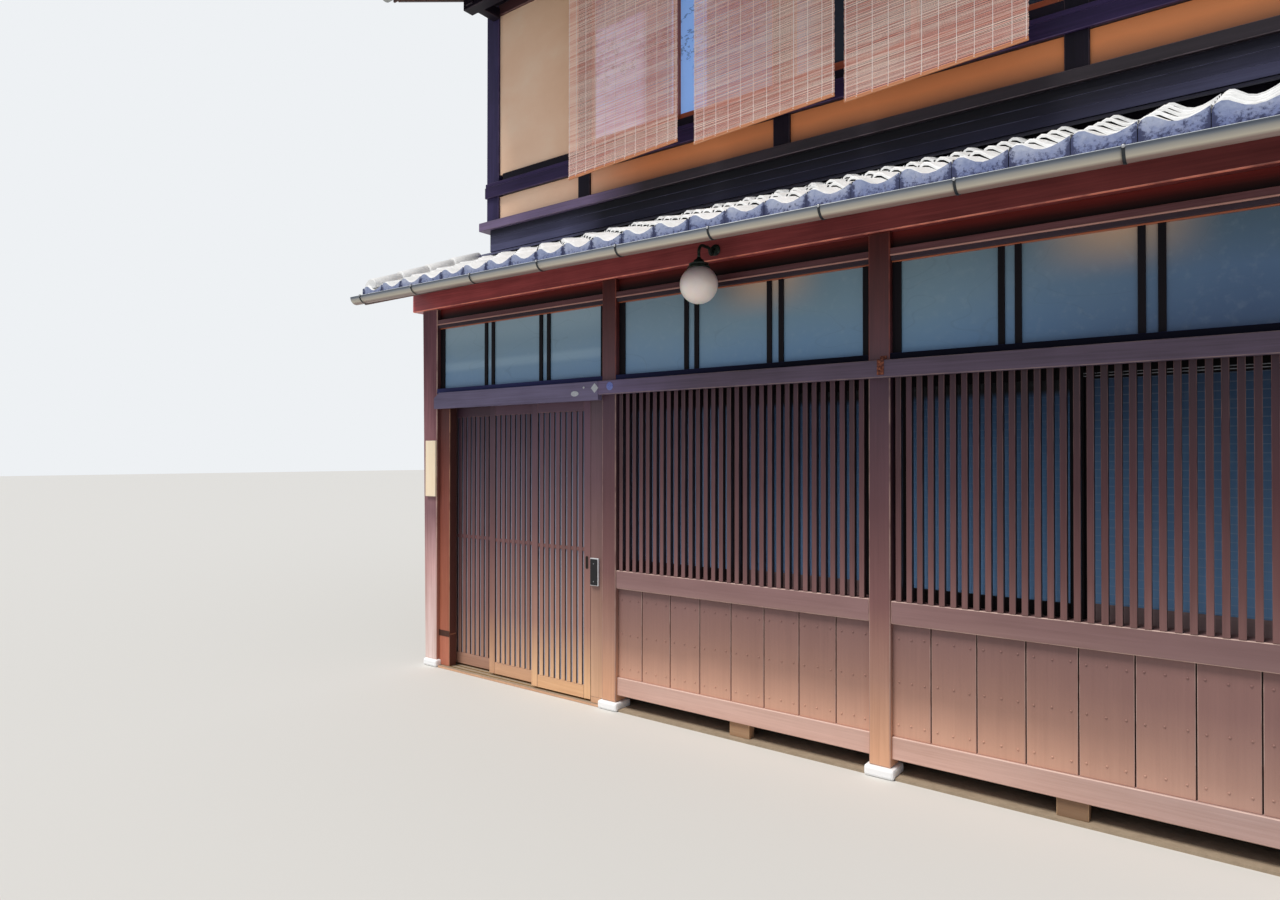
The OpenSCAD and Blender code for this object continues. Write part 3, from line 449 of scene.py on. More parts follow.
# Painted light and shade: lighter toward the foot with painted bounce light, darker upward and toward the
# right with painted shade.
board_paint = timber("purple_brown_boards", [
    (0.22, "#c4947e", "#e1af95"), (0.32, "#b08471", "#cb9c86"), (0.44, "#936d5f", "#ab8272"),
    (0.6, "#825f57", "#997369"), (0.79, "#71524f", "#866461")], "#c9aca2", 0.58, contrast=0.6,
    across=[(1.6, 0), (2.5, 1)], far=[
    (0.22, "#ad8678", "#c79e8e"), (0.32, "#9a7468", "#b18a7c"), (0.6, "#795753", "#8f6a64")])
groove_shade = timber("board_groove_shade", [(0, "#2a1d1b", "#3c2c29")], "#3c2c29", 0.8)
boards = joinery("wainscot_uprights", [
    beam((x[0] + low + (groove / 2 if low else 0), x[0] + high - (groove / 2 if high < bay_inside else 0)),
         (board_face, 0.046), board_z)
    for x in shop_bays for low, high in zip(joints, joints[1:])], 0.0025, board_paint, 11)
board_backs = joinery("wainscot_backs", [beam(x, (0.0455, 0.050), board_z) for x in shop_bays],
                      0, groove_shade, 12)
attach(board_backs, "house")
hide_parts("wainscot_boards")
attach(boards, "house")
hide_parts("wainscot_boards")


def rows_tree():
    """Copies of one unit, laid in columns and rows, each with a little chance in its place."""
    tree = bpy.data.node_groups.new("laid_in_rows", "GeometryNodeTree")
    for name, kind in (("Unit", "Object"), ("Columns", "Int"), ("Rows", "Int"), ("First", "Vector"),
                       ("Column step", "Vector"), ("Row step", "Vector"), ("Jitter", "Vector"),
                       ("Wobble", "Vector"), ("Seed", "Int"), ("Finish", "Material")):
        tree.interface.new_socket(name=name, in_out="INPUT", socket_type="NodeSocket" + kind)
    tree.interface.new_socket(name="Geometry", in_out="OUTPUT", socket_type="NodeSocketGeometry")
    rule = Graph(tree)
    entry = rule.node("NodeGroupInput", {}, {}).socket.node
    given = {socket.name: Wire(rule, socket) for socket in entry.outputs if socket.name}
    points = rule.node("GeometryNodeMeshLine", {"mode": "OFFSET"},
                       {"Count": given["Columns"] * given["Rows"], "Offset": (0, 0, 0)})
    index = rule.node("GeometryNodeInputIndex", {}, {})
    row = (index / given["Columns"] + 0.0001).maths("FLOOR")
    where = given["First"]
    for number, step in ((index % given["Columns"], "Column step"), (row, "Row step")):
        reach = rule.node("ShaderNodeVectorMath", {"operation": "SCALE"}, {0: given[step], 3: number})
        where = rule.node("ShaderNodeVectorMath", {"operation": "ADD"}, {0: where, 1: reach})
    chance = {}
    for number, name in enumerate(("Jitter", "Wobble")):
        less = rule.node("ShaderNodeVectorMath", {"operation": "SCALE"}, {0: given[name], 3: -1.0})
        chance[name] = rule.node("FunctionNodeRandomValue", {"data_type": "FLOAT_VECTOR"},
                                 {"Min": less, "Max": given[name], "Seed": given["Seed"] + number})
    points = rule.node("GeometryNodeSetPosition", {}, {0: points, 2: where, 3: chance["Jitter"]})
    unit = rule.node("GeometryNodeObjectInfo", {}, {0: given["Unit"], 1: True}, "Geometry")
    laid_out = rule.node("GeometryNodeInstanceOnPoints", {}, {0: points, 2: unit, 5: chance["Wobble"]})
    luck = rule.node("FunctionNodeRandomValue", {"data_type": "FLOAT"}, {8: given["Seed"] + 5}, 1)
    laid_out = rule.node("GeometryNodeStoreNamedAttribute", {"data_type": "FLOAT", "domain": "INSTANCE"},
                         {0: laid_out, 2: "luck", 3: luck})
    laid_out = rule.node("GeometryNodeRealizeInstances", {}, {0: laid_out})
    laid_out = rule.node("GeometryNodeSetMaterial", {}, {0: laid_out, 2: given["Finish"]})
    leave = tree.nodes.new("NodeGroupOutput")
    tree.links.new(laid_out.socket, leave.inputs[0])
    return tree


rows_rule = rows_tree()


def laid(name, unit, finish, runs, seed=1):
    """One mesh of every run of copies of the unit. A run gives columns, rows, first, column_step,
    row_step, jitter and wobble, and whatever it leaves out is one or nothing."""
    # Each copy gets a luck of its own, which the unit's would hide.
    if "luck" in unit.data.attributes:
        unit.data.attributes.remove(unit.data.attributes["luck"])
    merged = bmesh.new()
    for number, run in enumerate(runs):
        given = {"Unit": unit, "Finish": finish.material, "Seed": seed + 10 * number, "Columns": 1, "Rows": 1}
        given.update({key.capitalize().replace("_", " "): value for key, value in run.items()})
        carrier = bpy.data.objects.new(name + "_carrier", bpy.data.meshes.new(name + "_carrier"))
        bpy.context.scene.collection.objects.link(carrier)
        modifier = carrier.modifiers.new("laid_in_rows", "NODES")
        modifier.node_group = rows_rule
        for socket in rows_rule.interface.items_tree:
            if socket.in_out == "INPUT" and socket.name in given:
                modifier[socket.identifier] = given[socket.name]
        seen_by = bpy.context.evaluated_depsgraph_get()
        made = bpy.data.meshes.new_from_object(carrier.evaluated_get(seen_by), depsgraph=seen_by)
        carrier.modifiers.remove(modifier)
        merged.from_mesh(made)
        bpy.data.objects.remove(carrier)
        bpy.data.meshes.remove(made)
    bpy.data.objects.remove(unit)
    return shown(name, merged, finish)


def arc(middle, radius, start, turn, count):
    """Points of an arc in a plane, in count steps. The angles are in degrees."""
    return [(middle[0] + radius * math.cos(math.radians(start + turn * k / count)),
             middle[1] + radius * math.sin(math.radians(start + turn * k / count))) for k in range(count + 1)]


def turned(name, profile, finish, sides=24, smooth=True, at=Matrix.Identity(4)):
    """A round piece from a profile of radius and height, both ends of which lie on the axis. at
    says where it goes."""
    mesh = bmesh.new()
    rings = [[mesh.verts.new((x, y, z)) for x, y in arc((0, 0), r, 0, 360, sides)[:-1]]
             for r, z in profile if r > 0]
    for low, high in zip(rings, rings[1:]):
        for k in range(sides):
            mesh.faces.new((low[k], low[(k + 1) % sides], high[(k + 1) % sides], high[k]))
    for ring, tip, order in ((rings[0], profile[0], 1), (rings[-1], profile[-1], -1)):
        if tip[0] == 0:
            point = mesh.verts.new((0, 0, tip[1]))
            for k in range(sides):
                mesh.faces.new((point, ring[(k + 1) % sides], ring[k])[::order])
        else:
            mesh.faces.new(ring[::-order])
    bmesh.ops.recalc_face_normals(mesh, faces=mesh.faces[:])
    for face in mesh.faces:
        face.smooth = smooth
    mesh.transform(at)
    return shown(name, mesh, finish)


facing = Matrix.Rotation(math.pi / 2, 4, "X")
nail_in = 0.033
nail_low = 0.279
nail_step = 0.2215
nail = turned("nail", [(0.0058, -0.001), (0.0054, 0.0014), (0.0036, 0.0032), (0, 0.0036)], board_paint, 10,
              at=facing)
nails = laid("wainscot_nails", nail, board_paint, [
    {"rows": 3, "first": (x, board_face + front, nail_low), "row_step": (0, 0, nail_step),
     "jitter": (0.003, 0, 0.004)}
    for low, high in board_spans for x in (low + nail_in, (low + high) / 2, high - nail_in)], 31)
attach(nails, "house")

# Lattice: thirty-one slim upright bars to a bay, stood on the middle rail and let into the
# batten above. Each bay is one fixed panel, painted with the posts.

bar_w = 0.028
bar_h = 1.163
bar_count = 31
bar_gap = (bay_inside - bar_count * bar_w) / (bar_count + 1)
# Painted light and shade: lighter low down, darker upward and toward the right, with flanks nearly black in
# painted shadow under the upper rail.
bar_paint = timber("lattice_paint", [
    (0.95, "#684445", "#845e5d"), (1.1, "#5c3a3b", "#765152"), (1.5, "#45262a", "#5d393e"),
    (2.1, "#371b27", "#4e2c3b")], "#7a5c5a", 0.5, contrast=1.2, across=[(0, 0), (bay, 1)], flank=[
    (0.95, "#150e12"), (1.05, "#2a2026"), (1.85, "#231a20"), (2.0, "#08060a")], far=[
    (0.95, "#64423f", "#7f5a57"), (1.1, "#563231", "#6e4644"), (1.5, "#39171c", "#4e252b"),
    (2.1, "#240d18", "#341726")])
for x, node in zip(shop_bays, ("lattice_centre", "lattice_right")):
    bar = joinery("bar", [((bar_w, 0.034, bar_h), Matrix.Identity(4))], 0.0022, bar_paint)
    bars = laid(node + "_bars", bar, bar_paint, [
        {"columns": bar_count,
         "first": (x[0] + bar_gap + bar_w / 2, 0.022 + front, mid_rail_z[1] + bar_h / 2),
         "column_step": (bar_w + bar_gap, 0, 0), "jitter": (0.0007, 0.0007, 0),
         "wobble": (0, 0.0004, 0.012)}], 41)
    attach(bars, "house")
    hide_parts(node)

# Upper rail: one long board nailed across the posts over both lattices, with battens behind it
# between the posts. A rusty hooked strap hangs over it at the right-hand middle post.

rail_proud = 0.045
# The rail's left end, over the door, is painted lighter with painted light; the rest is in painted shade.
rail_wood = timber("grey_brown_rail", [(0, "#53455e", "#85749c")], "#8a7674", 0.6, contrast=1.1,
                   far=[(0, "#433543", "#6c5a72")], across=[(-0.8, 0), (-0.1, 1)])
upper_rail = joinery("upper_rail_eased", [
    beam((post_x[1] - post_w / 2, post_x[3] + post_w / 2), (-rail_proud, 0), (2.057, rail_top))] + [
    beam(x, (0, 0.150), (2.075, rail_top)) for x in shop_bays], 0.004, rail_wood, 51)
rust = Finish("rusty_strap")
rust_cloud = rust.noise(rust.place(), 85.0, 5.0)
rust.surface(Base_Color=rust.ramp(rust_cloud, (0.3, "#2c1716"), (0.52, "#6e3627"),
                                  (0.75, "#b06a48")),
             Roughness=0.75, Metallic=0.2, Normal=rust.relief(rust_cloud, 0.0012))
strap_x = (0.917, 0.953)
strap_hook = joinery("rail_strap", [
    beam(strap_x, (-0.0490, -rail_proud), (2.070, 2.150)),
    beam(strap_x, (-0.0490, -0.0005), (rail_top, 2.151)),
    beam(strap_x, (-0.0045, -0.0005), (2.150, 2.172)),
    beam((0.927, 0.941), (-0.0555, -0.0485), (2.096, 2.110))], 0.0012, rust, 52)
for piece, slot in ((upper_rail, "grey_wood"), (strap_hook, "weathered_wood")):
    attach(piece, "house")
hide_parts("upper_rail")

# Door frame: a lintel board whose left end is cut at a slant, the grooved upper track behind it,
# and a fixed strip that closes the gap between the doors and the post. Four small plain plates are
# fixed to the boards' faces.

# Painted light and shade: lighter toward the foot with painted bounce light from the ground, darker upward
# with painted shade.
door_wood = timber("door_frame_wood", [
    (0.06, "#c59674", "#f0c39d"), (0.5, "#936c5a", "#b68e7a"), (0.9, "#6a4b45", "#87655f"),
    (1.5, "#4f353c", "#6a4c54"), (2.0, "#433038", "#5d4651")], "#86665e", 0.55, contrast=0.9,
    flank=[(0, "#1e1214")])


def lofted(mesh, rings, smooth=False):
    """Faces round and round from ring to ring of corners, and one over each end."""
    rings = [[mesh.verts.new(corner) for corner in ring] for ring in rings]
    n = len(rings[0])
    for low, high in zip(rings, rings[1:]):
        for k in range(n):
            mesh.faces.new((low[k], low[(k + 1) % n], high[(k + 1) % n], high[k])).smooth = smooth
    for ring in (rings[0], rings[-1]):
        mesh.faces.new(ring)
    bmesh.ops.recalc_face_normals(mesh, faces=mesh.faces[:])


strip_x = (-1.0775, -0.9675)
track_x = (-2.5505, -0.9675)
leaf_top = 2.039
lintel = bmesh.new()
outline = [(-2.6545, 2.023), (-0.9675, 2.023), (-0.9675, rail_top), (-2.5945, rail_top), (-2.6545, 2.1057)]
lofted(lintel, [[(x, front - y, z) for x, z in outline] for y in (rail_proud, 0)])
bmesh.ops.bevel(lintel, geom=lintel.edges[:], offset=0.003, segments=2, profile=0.5, affect="EDGES")
lintel_board = shown("door_lintel", lintel, timber(
    "lintel_wood", [(0, "#4e445e", "#7a7090")], "#9a8f90", 0.55, jointed=False, contrast=1.1))
frame_parts = joinery("door_track_and_strip", [
    beam(track_x, (y, y + 0.0142), (leaf_top, rail_top)) for y in (0.0, 0.0505, 0.1005, 0.1505)] + [
    beam(track_x, (0.0, 0.1655), (2.062, rail_top)),
    beam(strip_x, (0.014, 0.060), (stone_top, leaf_top)),
    beam((strip_x[0], -0.9895), (0.014, 0.060), (earth_top, stone_top))], 0.002, door_wood, 61)
pale_metal = speckled("pale_plate_metal", 90.0, 4.0, "#9a9ca2", "#d4d6da", 0.25, 0.3, 0.0003, Metallic=0.4)
blue_enamel = speckled("blue_enamel", 130.0, 3.0, "#2b3ea0", "#8f9ad0", 0.2, 0.2)
plate_face = front - rail_proud
oval_line = [(0.034, 0), (0.034, 0.0015), (0.032, 0.0022), (0, 0.0022)]
oval = turned("lintel_plate", oval_line, pale_metal, 28, False,
              Matrix.Translation((-1.170, plate_face, 2.072)) @ Matrix.Scale(0.52, 4, (0, 0, 1)) @ facing)
diamond = joinery("lintel_diamond", [(
    (0.046, 0.0022, 0.046),
    Matrix.Translation((-0.994, plate_face - 0.0011, 2.102)) @ Matrix.Rotation(math.pi / 4, 4, "Y"))],
    0.0008, pale_metal, 62)
small_stud = turned("lintel_stud", [(0.008, 0), (0.0075, 0.002), (0.004, 0.0035), (0, 0.004)], pale_metal, 16,
                    at=Matrix.Translation((-1.090, plate_face, 2.110)) @ facing)
disc = turned("rail_disc", [(0.027, 0), (0.027, 0.0015), (0.024, 0.003), (0, 0.003)], blue_enamel, 28, False,
              Matrix.Translation((-0.865, plate_face, 2.108)) @ facing)
for piece, slot in ((lintel_board, "grey_wood"), (frame_parts, "grey_wood"), (oval, "verdigris"),
                    (diamond, "verdigris"), (small_stud, "verdigris"), (disc, "verdigris")):
    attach(piece, "house")
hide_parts("door_frame")
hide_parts("door_frame")

# Threshold: a worn sill board at the edge of the earth floor, and a low brass rail under each
# leaf, along which its sheaves roll.

threshold = joinery("door_sill_board", [beam((-2.6455, -0.9915), (-0.008, 0), (0.0, earth_top))],
                    0.002, door_wood, 71)
brass = speckled("dull_brass", 1.0, 3.0, "#8d6f3a", "#c2a365", 0.25, 0.25, 0.0002, stretch=(3, 200, 200),
                 Metallic=0.9)
leaf_places = {"left": (-2.6305, 0.118), "middle": (-2.1345, 0.068), "right": (-1.6385, 0.018)}
track_rails = joinery("door_rails", [
    beam((x if side == "left" else track_x[0], strip_x[0]), (y + 0.013, y + 0.019), (earth_top, 0.018))
    for side, (x, y) in leaf_places.items()], 0.0008, brass, 72)
for piece, slot in ((threshold, "grey_wood"), (track_rails, "verdigris")):
    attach(piece, "house")
    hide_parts("door_threshold")

# Three sliding leaves, each on its own rail: two stiles, a deep bottom rail, a top rail, eight
# thick bars and one thin cross rail, glazed behind with frosted glass. Each stands on two sheaves.

# Each leaf is painted lighter at its foot with painted bounce light from the ground and darker upward with
# painted shade.
leaf_tones = {
    "left": [(0.07, "#9f7562", "#c59981"), (0.5, "#764f49", "#946a64"), (1.0, "#59383a", "#734e51"),
             (1.5, "#442b34", "#5c3f4a"), (2.0, "#3b2532", "#543849")],
    "middle": [(0.07, "#c59572", "#ecbc96"), (0.5, "#865d51", "#a4796e"), (1.0, "#613e3e", "#7b5556"),
               (1.5, "#4a3038", "#624551"), (2.0, "#3f2836", "#5a3c4e")],
    "right": [(0.07, "#daa67a", "#ffd2a2"), (0.5, "#936756", "#b28575"), (1.0, "#674440", "#825b59"),
              (1.5, "#4d323a", "#664852"), (2.0, "#452b3a", "#614255")]}
leaf_w = 0.556
stile_w = 0.060
leaf_z = (0.028, 2.033)
pane_z = (0.114, 1.959)
leaf_bars = 8
leaf_gap = 0.018
bar_pitch = (leaf_w - 2 * stile_w - leaf_gap) / leaf_bars
glass_in = 0.008
sheaf_z = 0.0273
sheaf_line = [(0.0035, -0.004), (0.009, -0.004), (0.0085, 0), (0.009, 0.004), (0.0035, 0.004)]
door_frost = Finish("door_frosted_glass")
door_cloud = door_frost.noise(door_frost.place(), 5.0, 3.0)
door_grit = door_frost.noise(door_frost.place(), 400.0, 2.0)
# The door glass is painted paler low down and darker upward: painted bounce light and painted shade.
door_high = door_frost.place().parts()[2] / 2.2
door_frost.surface(Base_Color=door_frost.ramp(
    door_high + (door_cloud - 0.5) * 0.08, (0.3, "#bebfcb"), (0.43, "#adb2c3"),
    (0.55, "#959baf"), (0.68, "#82899f"), (0.82, "#626981")),
    Roughness=0.35, Normal=door_frost.relief(door_grit, 0.0002))
for i, (side, (x, y)) in enumerate(leaf_places.items()):
    door_paint = timber("door_wood_" + side, leaf_tones[side], "#7c5f5a", 0.55, contrast=0.95,
                        flank=[(0, "#0c0709")])
    whole = (y, y + 0.032)
    inner = (x + stile_w, x + leaf_w - stile_w)
    leaf = joinery("leaf_" + side + "_frame", [
        beam((x, inner[0]), whole, leaf_z),
        beam((inner[1], x + leaf_w), whole, leaf_z),
        beam(inner, whole, (leaf_z[0], pane_z[0])),
        beam(inner, whole, (pane_z[1], leaf_z[1])),
        beam(inner, (y + 0.005, y + 0.0135), (1.014, 1.040))] + [
        beam((bar_x + leaf_gap, bar_x + bar_pitch), (y + 0.002, y + 0.0135), pane_z)
        for bar_x in [inner[0] + k * bar_pitch for k in range(leaf_bars)]], 0.0018, door_paint, 81 + i)
    merged = bmesh.new()
    for across in inner:
        sheaf = turned("sheaf", sheaf_line, brass, 20, False,
                       Matrix.Translation((across, y + 0.016 + front, sheaf_z)) @ facing)
        merged.from_mesh(sheaf.data)
        bpy.data.objects.remove(sheaf)
    wheels = shown("leaf_" + side + "_sheaves", merged, brass)
    for piece, slot in ((leaf, "grey_wood"), (wheels, "verdigris")):
        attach(piece, "leaf_" + side)
        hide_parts("door_leaf_" + side)
    pane = joinery("door_pane_" + side, [
        beam((inner[0] - glass_in, inner[1] + glass_in), (y + 0.0135, y + 0.0175),
             (pane_z[0] - glass_in, pane_z[1] + glass_in))], 0.0004, door_frost)
    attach(pane, "leaf_" + side)
    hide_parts("door_glass_" + side)

# Finger pull: a small dark oblong cup, let into the right-hand stile of the right leaf.

pull_x = -1.1145
pull_z = 0.9405
pull = bmesh.new()
pull_rings = []
for half_w, half_h, depth in ((0.0115, 0.0430, 0.0), (0.0115, 0.0430, -0.0016), (0.0085, 0.0400, -0.0016),
                              (0.0078, 0.0393, -0.0002)):
    pull_rings.append([])
    for angle in [2 * math.pi * k / 20 for k in range(20)]:
        lift = half_h - half_w if math.sin(angle) > 0 else half_w - half_h
        pull_rings[-1].append((pull_x + half_w * math.cos(angle), leaf_places["right"][1] + front + depth,
                               pull_z + lift + half_w * math.sin(angle)))
lofted(pull, pull_rings)
finger_pull = shown("finger_pull", pull, speckled(
    "dark_pull_metal", 120.0, 3.0, "#17120f", "#3a2f28", 0.25, 0.3, Metallic=0.6))
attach(finger_pull, "leaf_right")

# Nameplate and lock: a bare planed plate of pale wood on the corner post, and a small black
# lock case in a white surround on the fixed strip.

plate_wood = timber("bare_plate_wood", [(0, "#f8dcb6", "#fff8e4")], "#fff6e2", 0.6, contrast=0.8)
nameplate = joinery("nameplate", [beam((-2.791, -2.669), (-0.018, 0), (1.337, 1.776))],
                    0.003, plate_wood, 91, 2)
white_case = speckled("lock_surround", 60.0, 3.0, "#bfc0c4", "#e2e3e6", 0.35)
black_case = speckled("lock_face", 45.0, 3.0, "#060608", "#101115", 0.45, 0.2)
lock_case = joinery("lock_surround", [beam((-1.0725, -1.0005), (0.000, 0.014), (0.793, 0.977))],
                    0.004, white_case, 92, 2)
lock_face = joinery("lock_face", [beam((-1.0665, -1.0065), (-0.006, 0.0005), (0.799, 0.971))],
                    0.003, black_case, 93, 2)
stud = turned("stud", [(0.0030, -0.0005), (0.0026, 0.0006), (0, 0.0009)], white_case, 12, at=facing)
lock_studs = laid("lock_studs", stud, white_case, [
    {"rows": 2, "first": (-1.0365, -0.006 + front, 0.822), "row_step": (0, 0, 0.118)}])
for piece, slot in ((nameplate, "straw_wood"), (lock_case, "verdigris"), (lock_face, "verdigris")):
    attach(piece, "house")
    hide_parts("door_plates")
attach(lock_studs, "house")

# Shop windows behind the lattice: two glazed sashes to a bay, the left one in front, their dark
# stained stiles and rails put together round panes of frosted glass. A pink-brown facing covers
# the foot of each right-hand sash, and two thin rods cross the last one.

sash_wood = timber("dark_sash_wood", [(0, "#0c090b", "#1a1316")], "#2a2022", 0.5, shine=0.2)
stile_lap = 0.018


def sash_pair(x, y, z, stile, rail, order=1):
    """The members of two sashes that slide past each other, one a step behind the one in front."""
    middle = (x[0] + x[1]) / 2
    members = []
    for k, (low, high) in enumerate([(x[0], middle + stile_lap), (middle - stile_lap, x[1])][::order]):
        deep = (y + 0.032 * k, y + 0.032 * k + 0.028)
        between = (low + stile, high - stile)
        members += [beam((low, low + stile), deep, z), beam((high - stile, high), deep, z),
                    beam(between, deep, (z[0], z[0] + rail)), beam(between, deep, (z[1] - rail, z[1]))]
    return members


shop_stile = 0.058
shop_sashes = joinery("shop_sashes", [
    member for x in shop_bays for member in sash_pair(x, 0.080, (mid_rail_z[1], 2.075), shop_stile, 0.066)],
    0.002, sash_wood, 101)
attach(shop_sashes, "house")
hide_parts("shop_window_frames")
facing_start = 0.040
sash_facings = joinery("shop_sash_facings", [
    beam(((x[0] + x[1]) / 2 + facing_start, x[1] - shop_stile), (0.1095, 0.1125), (mid_rail_z[1], 0.985))
    for x in shop_bays],
    0.001, timber("pink_brown_facing", [(0, "#806a6c", "#a08888")], "#a89090", 0.55), 102)
window_rods = joinery("shop_window_rods", [
    beam((1.838, 2.650), (0.068, 0.072), (z, z + 0.004)) for z in (2.015, 2.028)], 0.001, pale_metal, 103)
for piece, slot in ((sash_facings, "grey_wood"), (window_rods, "verdigris")):
    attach(piece, "house")

# Frosted glass: blue with faint slats behind the lattice, darkened toward its top with painted
# shade and nearly black in a painted shadow under the upper rail. It is greyer in the transoms,
# where painted shade darkens the right-hand bay, painted warm light shows in two places and fine
# hairlines run across.

frost = Finish("frosted_panes")
place = frost.place()
x, _, z = place.parts()
ripple = frost.noise(place, 1.7, 3.0)
tooth = frost.noise(place, 260.0, 2.0)
mottle = frost.noise(place, 24.0, 4.0)
pane_high = frost.step(z, 2.10, 2.16)
# Painted shade: darker toward the top.
low_tone = frost.ramp((z - 0.9) / 1.2 + (ripple - 0.5) * 0.4, (0.0, "#7aaade"), (0.6, "#5784b4"),
                      (1.0, "#3a5c88"))
slat = 1 - frost.step(((z / 0.0375) % 1.0 - 0.5).maths("ABSOLUTE"), 0.03, 0.06)
low_tone = frost.blend(slat * (frost.step(x, 1.8, 1.84) * 0.13 + 0.12), low_tone, "#c8dcee")
low_tone = frost.blend((x < 0.0) * 0.35, low_tone, "#a8d0f8")
# A painted shadow strip, nearly black, under the upper rail.
low_tone = frost.blend(frost.step(z, 1.92, 1.97) * (x < 1.8), low_tone, "#06060a")
pane_share = (z - 2.18) / 0.48 + (ripple - 0.5) * 0.7
near_tone = frost.ramp(pane_share, (0.1, "#6b92b8"), (0.55, "#7795a8"), (1.0, "#758f9c"))
near_tone = frost.blend(0.25 - frost.step(x, -1.2, 0.6) * 0.25, near_tone, "#9db8d0")
pale_band = (1 - frost.step((z - 2.35).maths("ABSOLUTE"), 0.01, 0.05)) * 0.3
pale_band += frost.step(z, 2.45, 2.62) * 0.35
near_tone = frost.blend(pale_band * (x < -0.95), near_tone, "#b4d0de")
# Painted shade toward the right-hand transoms.
far_tone = frost.ramp(pane_share, (0.1, "#435d81"), (0.55, "#526f91"), (1.0, "#50697c"))
high_tone = frost.blend(frost.step(x, 0.9, 2.5), near_tone, far_tone)
# Painted warm light near the tops of two panes.
spot_x = (x - 0.22).maths("ABSOLUTE").maths("MINIMUM", (x - 1.98).maths("ABSOLUTE"))
glow = (1 - frost.step(spot_x, 0.0, 0.42)) * frost.step(z, 2.42, 2.68)
high_tone = frost.blend(glow * 0.9, high_tone, "#cdad91")
crack = frost.noise(frost.stretched(place, (1.1, 1.1, 2.6)), 1.0, 2.0)
hairline = (1 - frost.step((crack - 0.5).maths("ABSOLUTE"), 0.0, 0.0035)) * pane_high
tone = frost.blend(pane_high, low_tone, high_tone)
tone = frost.blend(hairline * 0.12, tone, "#44565c")
tone = frost.blend(frost.step(mottle, 0.5, 0.8) * 0.12, tone, "#a9b8c0")
frost.surface(Base_Color=tone, Roughness=mottle * 0.16 + 0.34, Normal=frost.relief(tooth, 0.0003))
coated(frost, "frosted_glass")

# Transoms: under the eave beam, a stained sill, slim stiles in pairs and a stepped head rail hold
# three frosted panes to a bay. A recessed board closes the gap up to the beam.

red_stain = timber("red_stain_trim", [(0, "#45262a", "#73474b")], "#a8746a", 0.42, contrast=1.1)
# The thin pink strip under the head rail is a painted highlight on its lower arris.
pink_arris = timber("pink_arris_trim", [(0, "#9a6a62", "#c8968a")], "#d8a89a", 0.42)
shaded_trim = timber("shaded_head_trim", [(0, "#2a2028", "#40323c")], "#40323c", 0.5, shine=0.3)
orange_bead = timber("orange_bead", [(0, "#8a4630", "#b0603f")], "#c07048", 0.42)
near_black = timber("near_black_trim", [(0, "#0e0a0e", "#18131a")], "#2c2026", 0.6, shine=0.15)
shade_red = timber("shaded_red_board", [
    (2.735, "#020104", "#050306"), (2.775, "#2a0b0a", "#4a1613"), (2.80, "#4b1412", "#7c2520")],
    "#5a2018", 0.5, shine=0.25, jitter=0.0)
# The sill is painted darker toward the right with painted shade.
blue_sill = timber("blue_black_sill", [(0, "#20224a", "#3a3c6a")], "#2c2e54", 0.6, shine=0.1,
                   far=[(0, "#020210", "#08081c")], across=[(-1.7, 0), (0.4, 1)])
edge_stile = 0.045
slim_stile = 0.030
pair_gap = 0.045
glass_foot = 2.183
glass_top = 2.663
head_foot = glass_top + 0.030
head_top = 2.725
arris_foot = head_foot - 0.007
bead_z = (glass_top - 0.006, glass_top + 0.001)
pane_w = (bay_inside - 2 * edge_stile - 4 * slim_stile - 2 * pair_gap) / 3
stiles = []
for x in bays:
    starts = [(x[0], edge_stile), (x[1] - edge_stile, edge_stile)]
    for i in range(2):
        left = x[0] + edge_stile + pane_w + i * (pane_w + 2 * slim_stile + pair_gap)
        starts += [(left, slim_stile), (left + slim_stile + pair_gap, slim_stile)]
    stiles += [beam((a, a + wide), (0.036, 0.064), (glass_foot, glass_top)) for a, wide in starts]


def along_bays(y, z):
    """One member across each bay."""
    return [beam(x, y, z) for x in bays]


for name, members, finish, slot in (
        ("transom_sills", along_bays((0, post_w), (rail_top, glass_foot)), blue_sill, "dark_wood"),
        ("transom_stiles", stiles, near_black, "dark_wood"),
        ("transom_heads", along_bays((0.004, post_w), (head_foot, head_top)), red_stain, "red_wood"),
        ("transom_arrises", along_bays((0.000, post_w), (arris_foot, head_foot)), pink_arris, "red_wood"),
        ("transom_shades", along_bays((0.012, post_w), (glass_top, arris_foot)), shaded_trim, "dark_wood"),
        ("transom_beads", along_bays((0.030, 0.062), bead_z), orange_bead, "red_wood"),
        ("transom_covers", along_bays((0.036, 0.056), (head_top, beam_foot)), shade_red, "red_wood")):
    piece = joinery(name, members, 0.0015, finish, 111)
    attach(piece, "house")
    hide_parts("transom_frames")

# Eave beam: one great squared log laid over the posts, stained red-brown, with broad eased
# arrises that catch the light from the street, given as a painted highlight. Painted shade darkens
# the beam toward the right.

roof_half = 2.9675
beam_top = 2.983
# Painted shade toward the right; the light edge tone is a painted highlight on the arrises.
beam_stain = timber("eave_beam_stain", [(0, "#974145", "#e86d6e")], "#ff9a80", 0.4, contrast=1.2,
                    far=[(0, "#602b2c", "#974a49")], across=[(-2.9, 0), (2.4, 1)])
eave_beam = joinery("eave_beam_log", [beam((-roof_half, roof_half), (-0.012, post_w), (beam_foot, beam_top))],
                    0.007, beam_stain, 121, 2)
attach(eave_beam, "house")
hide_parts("eave_beam")

# Frame of the lower roof: sloping rafters nailed to the eave beam and the upper wall, sarking
# boards over them, and a board across the rafter ends.

